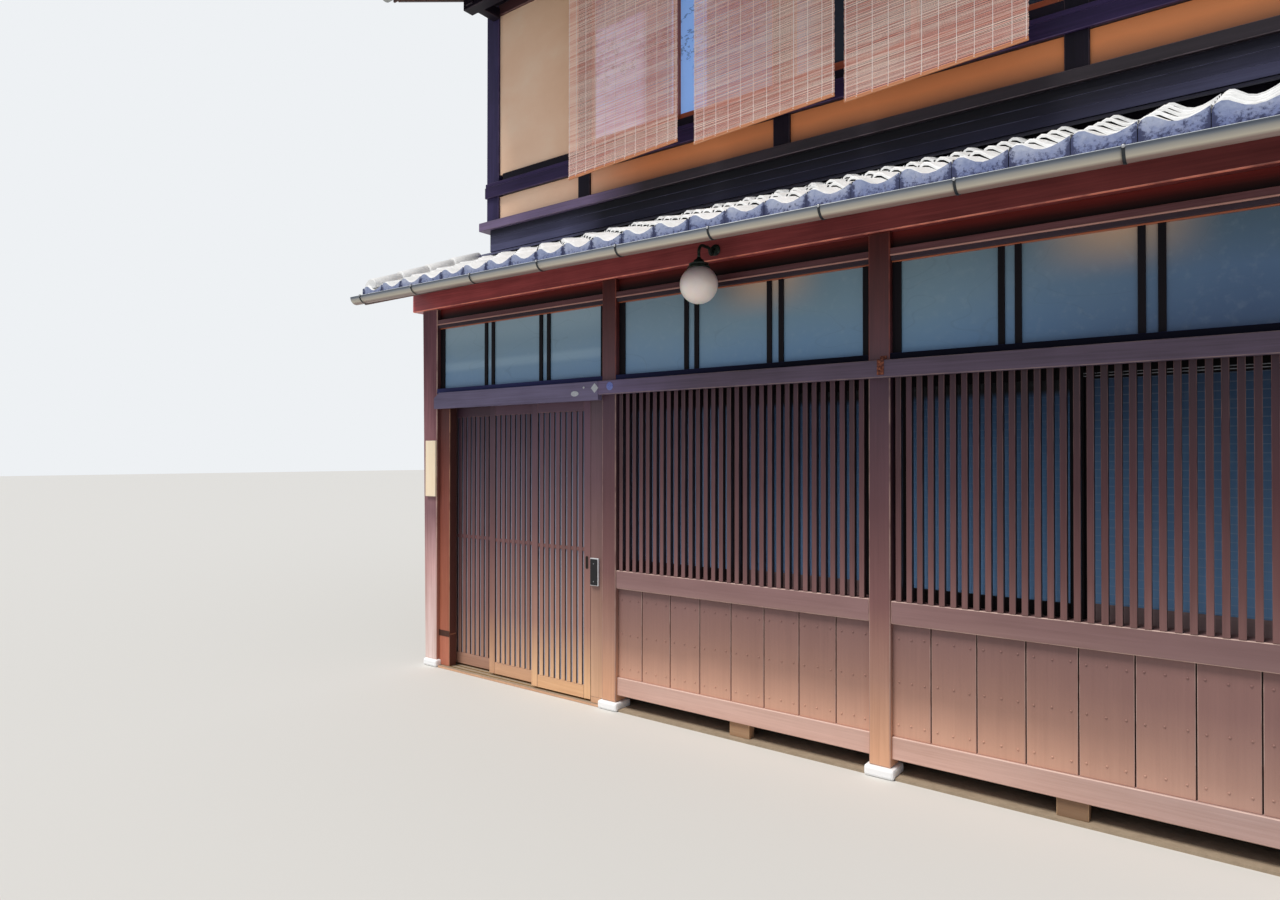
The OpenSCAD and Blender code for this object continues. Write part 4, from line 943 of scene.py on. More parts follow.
rafter_w = 0.042
rafter_h = 0.064
deck_t = 0.018
rafter_end = roof_half - rafter_w / 2
rafter_lines = [-rafter_end] + [bay / 4 * k for k in range(-5, 6)] + [rafter_end]
eave_wood = timber("eave_timber", [(0, "#2b1712", "#4c2a22")], "#7d4b3a", 0.5)
low_pitch = 0.400
main_pitch = 0.45


def roof_timbers(y, z, pitch, run):
    """Rafters, sarking boards and the eave board of a slope whose underside starts at y, z."""
    across = math.hypot(1, pitch)
    place = Matrix.Translation((0, y + front, z)) @ Matrix.Rotation(math.atan(pitch), 4, "X")
    long = run * across
    thick = rafter_h / across
    deck = deck_t / across
    cut = pitch * (thick + deck)
    members = [((rafter_w, long - 2 * cut, thick), place @ Matrix.Translation((x, long / 2, thick / 2)))
               for x in rafter_lines]
    count = round(long / 0.19)
    wide = (long - cut) / count
    members += [((2 * roof_half, wide - 0.003, deck - 0.001),
                 place @ Matrix.Translation((0, cut / 2 + (k + 0.5) * wide, thick + deck / 2)))
                for k in range(count)]
    high = rafter_h + deck_t - pitch * deck_t
    members.append(((2 * roof_half, deck_t, high),
                    Matrix.Translation((0, y + front - deck_t / 2, z + high / 2 - 0.0066))))
    return members


low_frame = joinery("lower_roof_timbers", roof_timbers(-0.439, 2.8188, low_pitch, 1.099),
                    0.003, eave_wood, 131)
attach(low_frame, "house")
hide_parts("lower_roof_frame")

# Roof tiles: smoked clay tiles with a roll along the left edge and a shallow trough, laid dry in
# lapped courses. The eave tiles have upright fronts that hide the ends of the courses.

tile_w = 0.230
first_seam = -2.951
whole_tiles = 25
last_seam = first_seam + whole_tiles * tile_w
tile_line = [(0.0, -0.006), (0.05, 0.0105), (0.13, 0.018), (0.22, 0.0145), (0.32, 0.0005), (0.43, -0.0145),
             (0.56, -0.022), (0.70, -0.0185), (0.85, -0.0065), (1.0, 0.0095)]
cuts = {"left": (first_seam - tile_w / 2, 1, (1 - (first_seam + roof_half) / tile_w, 1)),
        "full": (first_seam + tile_w / 2, whole_tiles, (0, 1)),
        "right": (last_seam + tile_w / 2, 1, (0, (roof_half - last_seam) / tile_w))}


def tile_share(low, high):
    """The part of a tile's line between two shares of its width, from the middle of the tile."""
    def level(s):
        for (a, p), (b, q) in zip(tile_line, tile_line[1:]):
            if a <= s <= b:
                return p + (q - p) * (s - a) / (b - a)
    kept = [low] + [s for s, _ in tile_line if low < s < high] + [high]
    return [((s - 0.5) * tile_w, level(s)) for s in kept]


def tile_unit(name, exposure, pitch, finish, way, share):
    """One roof tile, its front edge at the origin: rows of points up the slope, closed all round.
    What the next course covers, and the underside, are marked for painted shade, which shows as dark
    gaps under each course."""
    mesh = bmesh.new()
    buried = mesh.loops.layers.float.new("buried")
    rings = []
    line = tile_share(*share)
    rim = (0.010, 0.001, 0.018, 0.225)
    rear = (exposure + 0.045, -0.017, 0.016, -0.1)
    lapped = [a + (b - a) * (exposure - 0.009) / (exposure + 0.035) for a, b in zip(rim, rear)]
    for y, lift, thick, swell in ((0.0, -0.0035, 0.011, 0.225), (0.0015, -0.001, 0.0155, 0.225),
                                  (0.005, 0.0005, 0.0175, 0.225), rim, lapped, rear):
        top = [(a, h + lift + swell * (h + 0.022)) for a, h in line]
        under = [(a, b - thick) for a, b in reversed(top)]
        rings.append([mesh.verts.new((a, way * y, b + pitch * y)) for a, b in top + under])
    n = len(rings[0])
    for number, (low, high) in enumerate(zip(rings, rings[1:])):
        for k in range(n):
            face = mesh.faces.new((low[k], high[k], high[(k + 1) % n], low[(k + 1) % n]))
            face.smooth = k < len(line) - 1
            for loop in face.loops:
                loop[buried] = 1.0 if number == 4 or k >= len(line) - 1 else 0.0
    for ring in (rings[0], rings[-1]):
        for k in range(len(line) - 1):
            mesh.faces.new((ring[k], ring[k + 1], ring[n - 2 - k], ring[n - 1 - k]))
    bmesh.ops.recalc_face_normals(mesh, faces=mesh.faces[:])
    return shown(name, mesh, finish)


front_h = 0.097


def eave_unit(name, finish, way, share):
    """One eave tile's pendant front, whose top follows the tile and whose foot is cut level."""
    mesh = bmesh.new()
    gap = 0.0014
    line = tile_share(*share)
    line[0] = (line[0][0] + gap, line[0][1])
    line[-1] = (line[-1][0] - gap, line[-1][1])
    rings = []
    for y, inset in ((-0.016, 0.0), (-0.0145, 0.003), (-0.001, 0.0)):
        top = [(a, h - inset) for a, h in line]
        foot = [(line[-1][0] - inset, inset - front_h), (line[0][0] + inset, inset - front_h)]
        rings.append([(a, way * y, b) for a, b in top + foot])
    lofted(mesh, rings)
    return shown(name, mesh, finish)


def tile_clay(name, dark, mid, light, blue, stains, patchy, fronts=False):
    """Smoked clay: silvery grey with darker blue stains, a fine tooth and painted shade on the faces
    marked for it. The eave tiles' fronts are speckled low down and beside their seams."""
    clay = Finish(name)
    place = clay.place()
    luck = clay.attribute("luck")
    blotch = clay.noise(place, 7.0, 5.0, 0.62)
    fleck = clay.noise(place, 46.0, 4.0, 0.65)
    grime = clay.noise(clay.stretched(place, (30.0, 30.0, 18.0)), 1.0, 6.0, 0.72)
    share = (blotch * 0.5 + fleck * 0.35 + (luck - 0.5) * patchy + 0.08).held()
    colour = clay.ramp(share, (0.28, dark), (0.46, mid), (0.66, light))
    across = ((place.parts()[0] - first_seam) / tile_w) % 1.0
    lean = clay.step(across, 0.35, 1.0) * 0.20 + clay.step(blotch, 0.45, 0.65) * 0.08
    stain = clay.step(grime + lean, 0.60, 0.74) * stains
    if fronts:
        high = place.parts()[2]
        low = ((high - ((high > 4.0) * (main_wave - low_wave) + low_wave)) / -front_h).held()
        seam = clay.step((across - 0.5).maths("ABSOLUTE"), 0.36, 0.5)
        speckle = clay.noise(place, 60.0, 6.0, 0.7)
        stain = clay.step(speckle + low * 0.3 + seam * 0.28, 0.60, 0.82) * stains
        colour = clay.blend(low * 0.75 + seam * 0.15, colour, "#4c5ea6")
    colour = clay.blend(stain, colour, blue)
    # Painted shade on the marked faces, dark in the gaps under each course.
    colour = clay.blend(clay.attribute("buried"), colour, "#0e0f16")
    clay.surface(Base_Color=colour, Roughness=fleck * 0.3 + 0.35, Normal=clay.relief(fleck + blotch, 0.0016))
    return clay


low_wave = 2.9250
main_wave = 5.3712
# The roof, verge and ridge tiles are painted near-white: painted sunlight on their tops.
roof_clay = tile_clay("smoked_tile", "#d2d4d4", "#ececea", "#ffffff", "#868d9c", 0.15, 0.10)
eave_clay = tile_clay("smoked_eave_tile", "#7481a5", "#96a1c0", "#bcc3d5", "#1c2450", 0.9, 0.12, True)
ridge_y = 3.970
front_eave = -0.208

# Each slope: where its eave tiles stand and how high, its pitch, how much of a tile shows, how
# many courses there are, and which way it rises.

main_courses = 18
main_step = (ridge_y - front_eave) / main_courses
slopes = {"lower_roof": (-0.457, low_wave, low_pitch, 0.2350, 5, 1),
          "main_front": (front_eave, main_wave, main_pitch, main_step, main_courses, 1),
          "main_rear": (2 * ridge_y - front_eave, main_wave, main_pitch, main_step, main_courses, -1)}
for name, (y, wave, pitch, step, courses, way) in slopes.items():
    made = []
    for part, (x, count, share) in cuts.items():
        lines = {"columns": count, "column_step": (tile_w, 0, 0)}
        tile = tile_unit("tile", step, pitch, roof_clay, way, share)
        made.append((laid(name + "_tiles_" + part, tile, roof_clay, [
            {**lines, "rows": courses, "first": (x, y - way * 0.009 + front, wave - 0.002),
             "row_step": (0, way * step, pitch * step), "jitter": (0.0012, 0.002, 0.001),
             "wobble": (0.003, 0.002, 0.003)}], 141 + way), "roof_tiles"))
        pendant = eave_unit("eave_tile", eave_clay, way, share)
        made.append((laid(name + "_eaves_" + part, pendant, eave_clay, [
            {**lines, "first": (x, y + front, wave), "jitter": (0.0004, 0.0008, 0.0010),
             "wobble": (0.003, 0.002, 0.002)}], 161 + way), "eave_tiles"))
    for piece, node in made:
        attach(piece, "house")
        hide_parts(node)

# Verge tiles: round cap tiles laid end over end up both edges of each slope, on the rolls of the
# outermost courses. Ridge: courses of flat tile bedded in mortar under a round cap.


def cap_unit(name, radius, long, pitch, finish, way=1):
    """A half-round cap tile, whose far end is slimmer and goes under the next one."""
    mesh = bmesh.new()
    rings = []
    for y, r in ((0.0, radius), (0.001, radius + 0.003), (0.012, radius + 0.003), (long, radius - 0.006)):
        rings.append([mesh.verts.new((way * a, way * y, b + pitch * y))
                      for a, b in arc((0, 0), r, 0, 180, 10)])
    for low, high in zip(rings, rings[1:]):
        for k in range(10):
            mesh.faces.new((low[k], high[k], high[k + 1], low[k + 1])).smooth = True
        mesh.faces.new((low[0], low[10], high[10], high[0]))
    mesh.faces.new(rings[0])
    mesh.faces.new(rings[-1][::-1])
    bmesh.ops.recalc_face_normals(mesh, faces=mesh.faces[:])
    return shown(name, mesh, finish)


verge_x = roof_half - 0.072
cap_lap = 0.03
for name, roof, run in (("lower", "lower_roof", 1.027), ("front", "main_front", 3.992),
                        ("rear", "main_rear", 3.992)):
    y, wave, pitch, _, _, way = slopes[roof]
    count = round(run / 0.235)
    step = run / count
    cap = cap_unit("verge_cap", 0.069, step + cap_lap, pitch, roof_clay, way)
    piece = laid("verge_tiles_" + name, cap, roof_clay, [
        {"columns": 2, "rows": count, "first": (-verge_x, y + front, wave + 0.004),
         "column_step": (2 * verge_x, 0, 0), "row_step": (0, way * step, pitch * step),
         "jitter": (0.001, 0.002, 0.001)}], 170)
    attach(piece, "house")
    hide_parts("verge_tiles")

ridge_z = 7.2693
course_h = 0.042
ridge_members = []
for k in range(4):
    wide = 2 * (0.128 - 0.008 * k)
    for long, across, high, z in ((2 * roof_half - 0.16, wide, 0.034, 0.030),
                                  (2 * roof_half - 0.18, wide - 0.040, 0.050, 0.010)):
        ridge_members.append(((long, across, high),
                              Matrix.Translation((0, ridge_y + front, ridge_z + z + course_h * k))))
courses = joinery("ridge_courses", ridge_members, 0.003, roof_clay, 181)
cap_count = 24
cap_step = (2 * roof_half - 0.12) / cap_count
ridge_cap = cap_unit("ridge_cap", 0.095, cap_step + 0.02, 0.0, roof_clay)
ridge_cap.data.transform(Matrix.Rotation(-math.pi / 2, 4, "Z"))
caps = laid("ridge_caps", ridge_cap, roof_clay, [
    {"columns": cap_count, "first": (-roof_half + 0.06, ridge_y + front, ridge_z + 0.186),
     "column_step": (cap_step, 0, 0), "jitter": (0.002, 0.001, 0.001)}], 182)
bed = bmesh.new()
bed_line = [(-0.150, -0.066), (-0.128, 0.006), (0.128, 0.006), (0.150, -0.066), (0, 0.0)]
lofted(bed, [[(side * (roof_half - 0.05), y + ridge_y + front, ridge_z + z) for y, z in bed_line]
             for side in (-1, 1)])
ridge_bed = shown("ridge_mortar_bed", bed, speckled(
    "lime_mortar", 22.0, 4.0, "#b9b4a9", "#d8d3c8", 0.9, depth=0.002))
end_mesh = bmesh.new()
end_z = 0.190
for side in (-1, 1):
    rings = []
    for x, inset in ((roof_half - 0.060, 0.0), (roof_half - 0.004, 0.0), (roof_half, 0.005)):
        r = 0.125 - inset
        foot = 0.185 - inset
        neck = 0.145 - inset
        line = [(-foot, -foot * main_pitch + inset), (-neck, end_z)] + arc((0, end_z), r, 180, -180, 14)
        line += [(neck, end_z), (foot, -foot * main_pitch + inset), (0, inset)]
        rings.append([(side * x, y + ridge_y + front, ridge_z + z) for y, z in line])
    lofted(end_mesh, rings)
ridge_ends = shown("ridge_end_tiles", end_mesh, eave_clay)
for piece in (courses, caps, ridge_bed, ridge_ends):
    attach(piece, "house")
    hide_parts("ridge_tiles")

# Gutters: half-round sheet channels with a rolled bead along the lip, painted ivory grey and
# hung in thin dark straps from the eave boards of both storeys.

gutter_r = 0.050
low_gutter_z = 2.8282
low_fall = 0.0072
gutter_paint = Finish("gutter_paint")
streak = gutter_paint.noise(gutter_paint.stretched(gutter_paint.place(), (5, 30, 30)), 1.0, 4.0)
grime = gutter_paint.noise(gutter_paint.place(), 5.0, 4.0)
gx, _, gz = gutter_paint.place().parts()
# On the lower gutter, bands by height are painted light and shade: a painted highlight on the bead, painted
# shade under it, warm painted bounce light from the ground lower down and a darker foot.
below = (low_gutter_z - (gz + gx * low_fall)) / gutter_r + (grime - 0.5) * 0.04 + 0.1
painted_light_bands = gutter_paint.ramp(
    below, (0.03, "#e6ecf0"), (0.07, "#3a4252"), (0.20, "#465060"), (0.32, "#727984"),
    (0.52, "#b4b0a8"), (0.82, "#d6ccb8"), (1.0, "#8f7268"))
worn_paint = gutter_paint.ramp((streak * 0.5 + grime * 0.5).held(), (0.32, "#8b9093"), (0.5, "#a3a6a4"),
                               (0.68, "#bbbcb5"))
gutter_paint.surface(
    Base_Color=gutter_paint.blend((gz < 3.5) * 0.88, worn_paint, painted_light_bands),
    Roughness=streak * 0.25 + 0.3, Normal=gutter_paint.relief(grime, 0.0006))


def gutter_mesh(name, y, z, way, fall):
    """Half-round channel along the eave, closed at its ends, with its bead on the outer lip."""
    mesh = bmesh.new()
    bead = 0.0055
    plate_t = 0.003
    hollow = gutter_r - plate_t
    plug = gutter_r - 0.0005
    line = arc((0, 0), gutter_r, 0, -171, 19) + arc((bead - gutter_r, 0), bead, 180, -288, 8)
    line += arc((0, 0), hollow, -162, 162, 18)
    end = arc((0, 0), plug, 0, -180, 20)
    for xs, points, smooth in (((-roof_half, roof_half), line, True),
                               ((-roof_half, plate_t - roof_half), end, False),
                               ((roof_half, roof_half - plate_t), end, False)):
        lofted(mesh, [[(x, way * a + y + front, b + z - fall * x) for a, b in points] for x in xs], smooth)
    return shown(name, mesh, gutter_paint)


strap_metal = speckled("gutter_strap_metal", 150.0, 3.0, "#22262a", "#3a3f44", 0.25, 0.3, Metallic=0.4)


def strap_unit(way):
    """A thin strap under the channel, its tail nailed to the eave board and its tip over the bead."""
    mesh = bmesh.new()
    r = gutter_r + 0.003
    outer = [(r + 0.017, 0.004), (r + 0.0005, 0.004)] + arc((0, 0), r, 0, -180, 16)
    outer += [(-r - 0.001, 0.0085), (-r + 0.013, 0.0085)]
    inner = [(a * 0.965, b * 0.965 + (0.002 if b > 0 else 0.0)) for a, b in outer]
    inner[0] = (r + 0.017, 0.0020)
    inner = [(a, b - 0.0024) if b > 0.003 else (a, b) for a, b in inner]
    rings = [[mesh.verts.new((x, way * a, b)) for a, b in outer + inner[::-1]] for x in (-0.006, 0.006)]
    n, m = len(rings[0]), len(outer)
    for k in range(n):
        mesh.faces.new((rings[0][k], rings[0][(k + 1) % n], rings[1][(k + 1) % n], rings[1][k]))
    for ring in rings:
        for k in range(m - 1):
            mesh.faces.new((ring[k], ring[k + 1], ring[n - 2 - k], ring[n - 1 - k]))
    bmesh.ops.recalc_face_normals(mesh, faces=mesh.faces[:])
    return shown("strap", mesh, strap_metal)


strap_step = 0.615
for name, y, z, way, fall in (("lower", -0.528, low_gutter_z, 1, low_fall),
                              ("upper_front", -0.279, 5.2733, 1, 0.0),
                              ("upper_rear", 8.219, 5.2733, -1, 0.0)):
    channel = gutter_mesh("gutter_" + name, y, z, way, fall)
    first = -2.7675 - way * 0.078
    line = {"columns": 10, "column_step": (strap_step, 0, -fall * strap_step)}
    straps = laid("gutter_straps_" + name, strap_unit(way), strap_metal, [
        {**line, "first": (first, y + front, z - fall * first)}], 190)
    knob = turned("knob", [(0.0075, -0.001), (0.007, 0.002), (0.004, 0.0035), (0, 0.004)], pale_metal, 10,
                  at=facing if way == 1 else facing @ Matrix.Rotation(math.pi, 4, "Y"))
    knobs = laid("gutter_knobs_" + name, knob, pale_metal, [
        {**line, "first": (first, y - way * 0.054 + front, z - fall * first)}], 191)
    for piece in (channel, straps, knobs):
        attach(piece, "house")
        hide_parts("gutters")

# Lamp: an opal glass globe under a stepped metal cap, on a dark green-black tube that leaves its
# round wall plate, dips, rises and runs out before it drops to the cap.

patina = Finish("green_black_patina")
patch = patina.noise(patina.place(), 55.0, 5.0)
patina.surface(Base_Color=patina.ramp(patch, (0.35, "#161c19"), (0.55, "#2c3731"), (0.75, "#4d5a50")),
               Metallic=0.5, Roughness=patch * 0.35 + 0.3, Normal=patina.relief(patch, 0.0006))
lamp_x = -0.080
lamp_face = front - 0.012
lamp_z = 2.873


def swept(name, path, radius, finish, sides=16):
    """A round tube along a path of points, closed at both ends."""
    across = Vector((1, 0, 0))
    mesh = bmesh.new()
    rings = []
    for k, point in enumerate(path):
        ahead = (path[min(k + 1, len(path) - 1)] - path[max(k - 1, 0)]).normalized()
        up = ahead.cross(across).normalized()
        rings.append([point + radius * (across * math.cos(a) + up * math.sin(a))
                      for a in [2 * math.pi * j / sides for j in range(sides)]])
    lofted(mesh, rings, True)
    return shown(name, mesh, finish)


route = [(0.004, 0)] + arc((0.012, -0.017), 0.017, 90, -90, 8) + arc((0.046, -0.017), 0.017, 180, 180, 16)[1:]
route += arc((0.080, -0.017), 0.017, 180, -90, 8)[1:] + arc((0.133, -0.045), 0.045, 90, -90, 12)
route += [(0.178, -0.060), (0.178, -0.082)]
path = [Vector((lamp_x, lamp_face - out, lamp_z + up)) for out, up in route]
tube = swept("lamp_tube", path, 0.009, patina)
plate_line = [(0.034, 0.0), (0.034, 0.005), (0.030, 0.008), (0.020, 0.010), (0.013, 0.012), (0, 0.012)]
wall_plate = turned("lamp_plate", plate_line, patina, 36,
                    at=Matrix.Translation((lamp_x, lamp_face, lamp_z)) @ facing)
globe_out = 0.190
globe_z = 2.638
globe_middle = Matrix.Translation((lamp_x, front - globe_out, globe_z))
cap_line = [(0.050, 0.098), (0.065, 0.097), (0.065, 0.102), (0.0565, 0.106), (0.0565, 0.118), (0.058, 0.120),
            (0.057, 0.122), (0.034, 0.126), (0.030, 0.134), (0.028, 0.142), (0.016, 0.147), (0.011, 0.158),
            (0, 0.159)]
cap = turned("lamp_cap", cap_line, patina, 40, at=globe_middle)
opal = Finish("opal_globe")
milk = opal.noise(opal.place(), 9.0, 3.0)
opal_z = opal.place().parts()[2]
# The globe is painted darker toward its top, as painted shade under the cap.
opal_shade = (opal.step(opal_z, 2.60, 2.74) * 0.75 + (milk - 0.5) * 0.3).held()
opal.surface(Base_Color=opal.blend(opal_shade, "#fbeee6", "#b9a3a8"), Roughness=0.32, Subsurface_Weight=0.25,
             Coat_Weight=0.3)
globe_r = 0.110
globe_line = [(0, -globe_r)] + [point for point in arc((0, 0), globe_r, -85.5, 153, 34) if point[1] < 0.0985]
globe_line += [(0.0485, 0.0987), (0, 0.0990)]
globe = turned("lamp_globe_glass", globe_line, opal, 56, at=globe_middle)
for piece in (tube, wall_plate, cap):
    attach(piece, "house")
    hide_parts("lamp_bracket")
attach(globe, "house")
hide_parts("lamp_globe")

# Upper posts: purple-stained corner posts and slimmer blue-black ones between the windows. Their
# flat faces stand proud of the plaster.

upper_y = 0.660
wall_y = (upper_y, upper_y + 0.120)
dark_stain = timber("blue_black_stain", [(0, "#0f0c15", "#211a27")], "#453a42", 0.5, shine=0.15)
corner_stain = timber("purple_corner_stain", [(0, "#241c3e", "#443a66")], "#5c5078", 0.5, shine=0.25)
mid_x = 1.72
slim_half = 0.060
corner_half = 0.0725
corner_x = 2.715
corner_shift = 0.052
corner_in = corner_x - corner_half
outer_spans = [(-corner_in, -mid_x - slim_half), (mid_x + slim_half, corner_in)]
window_spans = [(slim_half - mid_x, -slim_half), (slim_half, mid_x - slim_half)]
z_sill = 3.5998
z_strip = 3.6718
z_rail = 3.8768
z_recess = 4.0038
z_window = 4.0638
z_head = 5.3218
z_head_top = 5.4118
z_plate = 5.5218
z_plate_top = 5.6418
corner_posts = joinery("upper_corner_posts", [
    beam((x - corner_half, x + corner_half), wall_y, (z_strip, z_plate))
    for x in (-corner_x - corner_shift, corner_x)], 0.006, corner_stain, 201, 2)
middle_posts = joinery("upper_middle_posts", [
    beam((x - slim_half, x + slim_half), wall_y, (z_strip, z_plate)) for x in (-mid_x, 0, mid_x)],
    0.006, dark_stain, 202, 2)
for piece in (corner_posts, middle_posts):
    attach(piece, "house")
    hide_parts("upper_posts")

# Boards and rails of the upper front: the deep beam that shows as a dark board over the lower
# roof, the flashing at its foot, the sill board, the long board at the window rail, the wall
# plates front and rear, and the low sills between the rear posts.

wall_half = 2.7875
rear_post_y = (rear_y - post_w, rear_y)
wall_x = (-wall_half, wall_half)
long_boards = joinery("upper_boards", [
    beam(wall_x, wall_y, (3.2303, z_sill)),
    beam(wall_x, wall_y, (z_plate, z_plate_top)),
    beam(wall_x, rear_post_y, (z_plate, z_plate_top))] + [
    beam(x, wall_y, z) for x in outer_spans[:1] + window_spans + outer_spans[1:]
    for z in ((z_rail, z_window), (z_head, z_head_top)) if z[0] == z_rail or x in window_spans] + [
    beam(x, rear_post_y, (stone_top, 0.100)) for x in bays], 0.004, dark_stain, 203)
head_rails = joinery("upper_head_rails", [
    beam((x[0] - 0.05, x[1]), wall_y, (z_head_top + 0.02, z_plate)) for x in outer_spans],
    0.004, timber("red_brown_head", [(0, "#3c2226", "#5c393c")], "#7a5450", 0.5), 207)
# The sill board's left end is painted lighter with painted light, the rest darker with painted shade.
sill_stain = timber("grey_brown_sill", [(0, "#584b66", "#887598")], "#6d6068", 0.5, shine=0.3,
                    far=[(0, "#211c20", "#372e35")], across=[(-1.6, 0), (-1.1, 1)])
sill_board = joinery("upper_sill_board", [
    beam((-2.9025, 2.9025), (upper_y - 0.036, wall_y[1]), (z_sill, z_strip))], 0.004, sill_stain, 205)
long_x = (-2.842, 2.7955)
lip_z = z_recess - 0.034
rail_board = joinery("upper_long_board", [
    beam(long_x, (upper_y - 0.022, upper_y), (z_rail, lip_z)),
    beam(long_x, (upper_y - 0.014, upper_y), (lip_z, z_recess))],
    0.004, timber("violet_long_board", [(0, "#221638", "#41305e")], "#5a4a70", 0.5, shine=0.25), 206)
# Painted shade darkens the band toward its top, under the sill board, and toward its middle; its left end
# and, less, its right end are painted lighter with painted light.
band_stain = timber("blue_band_boards", [
    (3.36, "#4a4c6c", "#7a7ca0"), (3.47, "#3a3a52", "#5c5c7c"), (3.57, "#15151f", "#2a2838")],
    "#5c5c74", 0.5, shine=0.2, jitter=0.004, across=[(-1.9, 0), (-1.5, 1), (1.5, 1), (2.4, 0.4)], far=[
    (3.36, "#1c1c30", "#34344e"), (3.47, "#15141f", "#28263a"), (3.56, "#07060a", "#110f16")])
band_h = 0.0625
band_boards = joinery("upper_band_boards", [
    beam(wall_x, (upper_y - 0.007, upper_y), (z, z + band_h - 0.0005))
    for z in [3.4125 + k * band_h for k in range(3)]], 0.0018, band_stain, 204)
lead = Finish("dark_flashing")
dent = lead.noise(lead.stretched(lead.place(), (3, 14, 14)), 1.0, 4.0)
# The flashing's left end is painted lighter with painted light.
lead_tone = lead.blend(lead.step(lead.place().parts()[0], -1.9, -1.5), "#585a7a", "#222232")
lead.surface(Base_Color=lead.blend(dent * 0.5, lead_tone, "#0c0c12"), Metallic=0.2,
             Roughness=dent * 0.3 + 0.35, Normal=lead.relief(dent, 0.003))
sheet = bmesh.new()
outline = [(0.570, 3.3558), (0.660, 3.3915), (0.660, 3.4098), (0.570, 3.3638), (0.566, 3.3600)]
lofted(sheet, [[(x, y + front, z) for y, z in outline] for x in (-2.9075, 2.9075)])
flashing = shown("roof_flashing", sheet, lead)
for piece in (long_boards, head_rails, sill_board, rail_board, band_boards, flashing):
    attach(piece, "house")
    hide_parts("upper_front_boards")

# Plaster: fine sandy earth plaster, trowelled smooth between the posts, a warm ochre that is
# paler at the left corner, where painted sunlight falls, and browner in the strip under the
# windows, whose foot is darkened with painted shade.

plaster = Finish("ochre_plaster")
trowel_marks = plaster.noise(plaster.stretched(plaster.place(), (2.0, 2.0, 3.4)), 1.0, 4.0)
sand = plaster.noise(plaster.place(), 320.0, 2.0)
cloud = plaster.noise(plaster.place(), 2.6, 4.0)
px, py, pz = plaster.place().parts()
share = (trowel_marks * 0.4 + cloud * 0.4 + sand * 0.2).held()
pale = plaster.ramp(share, (0.30, "#f2c8a8"), (0.5, "#f9d2b4"), (0.70, "#fde0c6"))
deep = plaster.ramp(share, (0.30, "#d2955f"), (0.5, "#dfa46e"), (0.70, "#e8b482"))
# The strip's foot is darkened with painted shade.
strip_tone = plaster.ramp((pz - 3.6) + (cloud - 0.5) * 0.06, (0.08, "#96664b"), (0.20, "#df8b57"))
deep = plaster.blend((pz < z_rail) * (py < 0.0), deep, strip_tone)
plaster.surface(Base_Color=plaster.blend(plaster.step(px, -2.3, -1.0), pale, deep),
                Roughness=0.92, Normal=plaster.relief(sand + trowel_marks * 2.0, 0.0008))
panel_y = (0.680, 0.760)
wall_edges = joinery("plaster_edges", [
    beam((-2.70, -corner_in), panel_y, z) for z in ((z_strip, z_rail), (z_window, z_plate))] + [
    beam(x, panel_y, (z_head - 0.001, z_head_top + 0.001)) for x in outer_spans], 0, plaster, 208)
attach(wall_edges, "house")
coated(plaster, "plaster_panels", "rear_wall")

# Upper windows: a pair of sashes in each of two bays, varnished red-orange, with clear panes that
# hold a blue reflection of the sky. The left ones mirror a bright part of it, which the studio
# doesn't have, so they glow a little.

varnish = timber("orange_varnish", [(0, "#8a3c22", "#c8653c")], "#e59a6a", 0.3, contrast=1.1)
upper_frames = joinery("upper_sash_members", [
    member for x in window_spans for member in sash_pair(x, 0.684, (z_window, z_head), 0.036, 0.060)],
    0.002, varnish, 211)
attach(upper_frames, "house")
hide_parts("upper_window_frames")
sky_glass = Finish("clear_panes")
place = sky_glass.place()
px, _, pz = place.parts()
# The reflection is painted in: reflected twigs in its upper part, and a darker sky in the right-hand window.
branches = sky_glass.noise(sky_glass.stretched(place, (3.0, 3.0, 5.0)), 1.0, 5.0, 0.7)
twig = (1 - sky_glass.step((branches - 0.5).maths("ABSOLUTE"), 0.0, 0.03)) * sky_glass.step(pz, 4.3, 4.6)
sky_cloud = sky_glass.noise(sky_glass.shifted(place, (0.4, 0, 0)), 0.9, 2.0)
tone = sky_glass.blend(sky_glass.step(sky_cloud, 0.40, 0.62), "#5f86bd", "#a9b4dc")
tone = sky_glass.blend(sky_glass.step(px, -1.05, -0.9), sky_glass.blend(0.75, tone, "#b4b2d8"),
                       sky_glass.blend(0.7, tone, "#6ea6ea"))
tone = sky_glass.blend(sky_glass.step(px, 0.05, 0.3), tone, "#303a4a")
tone = sky_glass.blend(twig * 0.6, tone, "#3b4a66")
mirrored = (px < -0.62) * (1 - sky_glass.step(px, -1.2, -1.1) * (px < -0.9)) * (pz < 4.97)
sky_glass.surface(Base_Color=tone, Roughness=sky_cloud * 0.05 + 0.06, Metallic=0.1,
                  Emission_Color=sky_glass.blend(mirrored, "#000000", tone), Emission_Strength=0.55)
coated(sky_glass, "upper_glass")

# Reed blinds: three mats of split reed, woven with pale thread and hung on cords from the outer
# beam. A flat batten closes each mat at its top and its foot. The mats hang askew: the foot of
# each is drawn up toward the right.

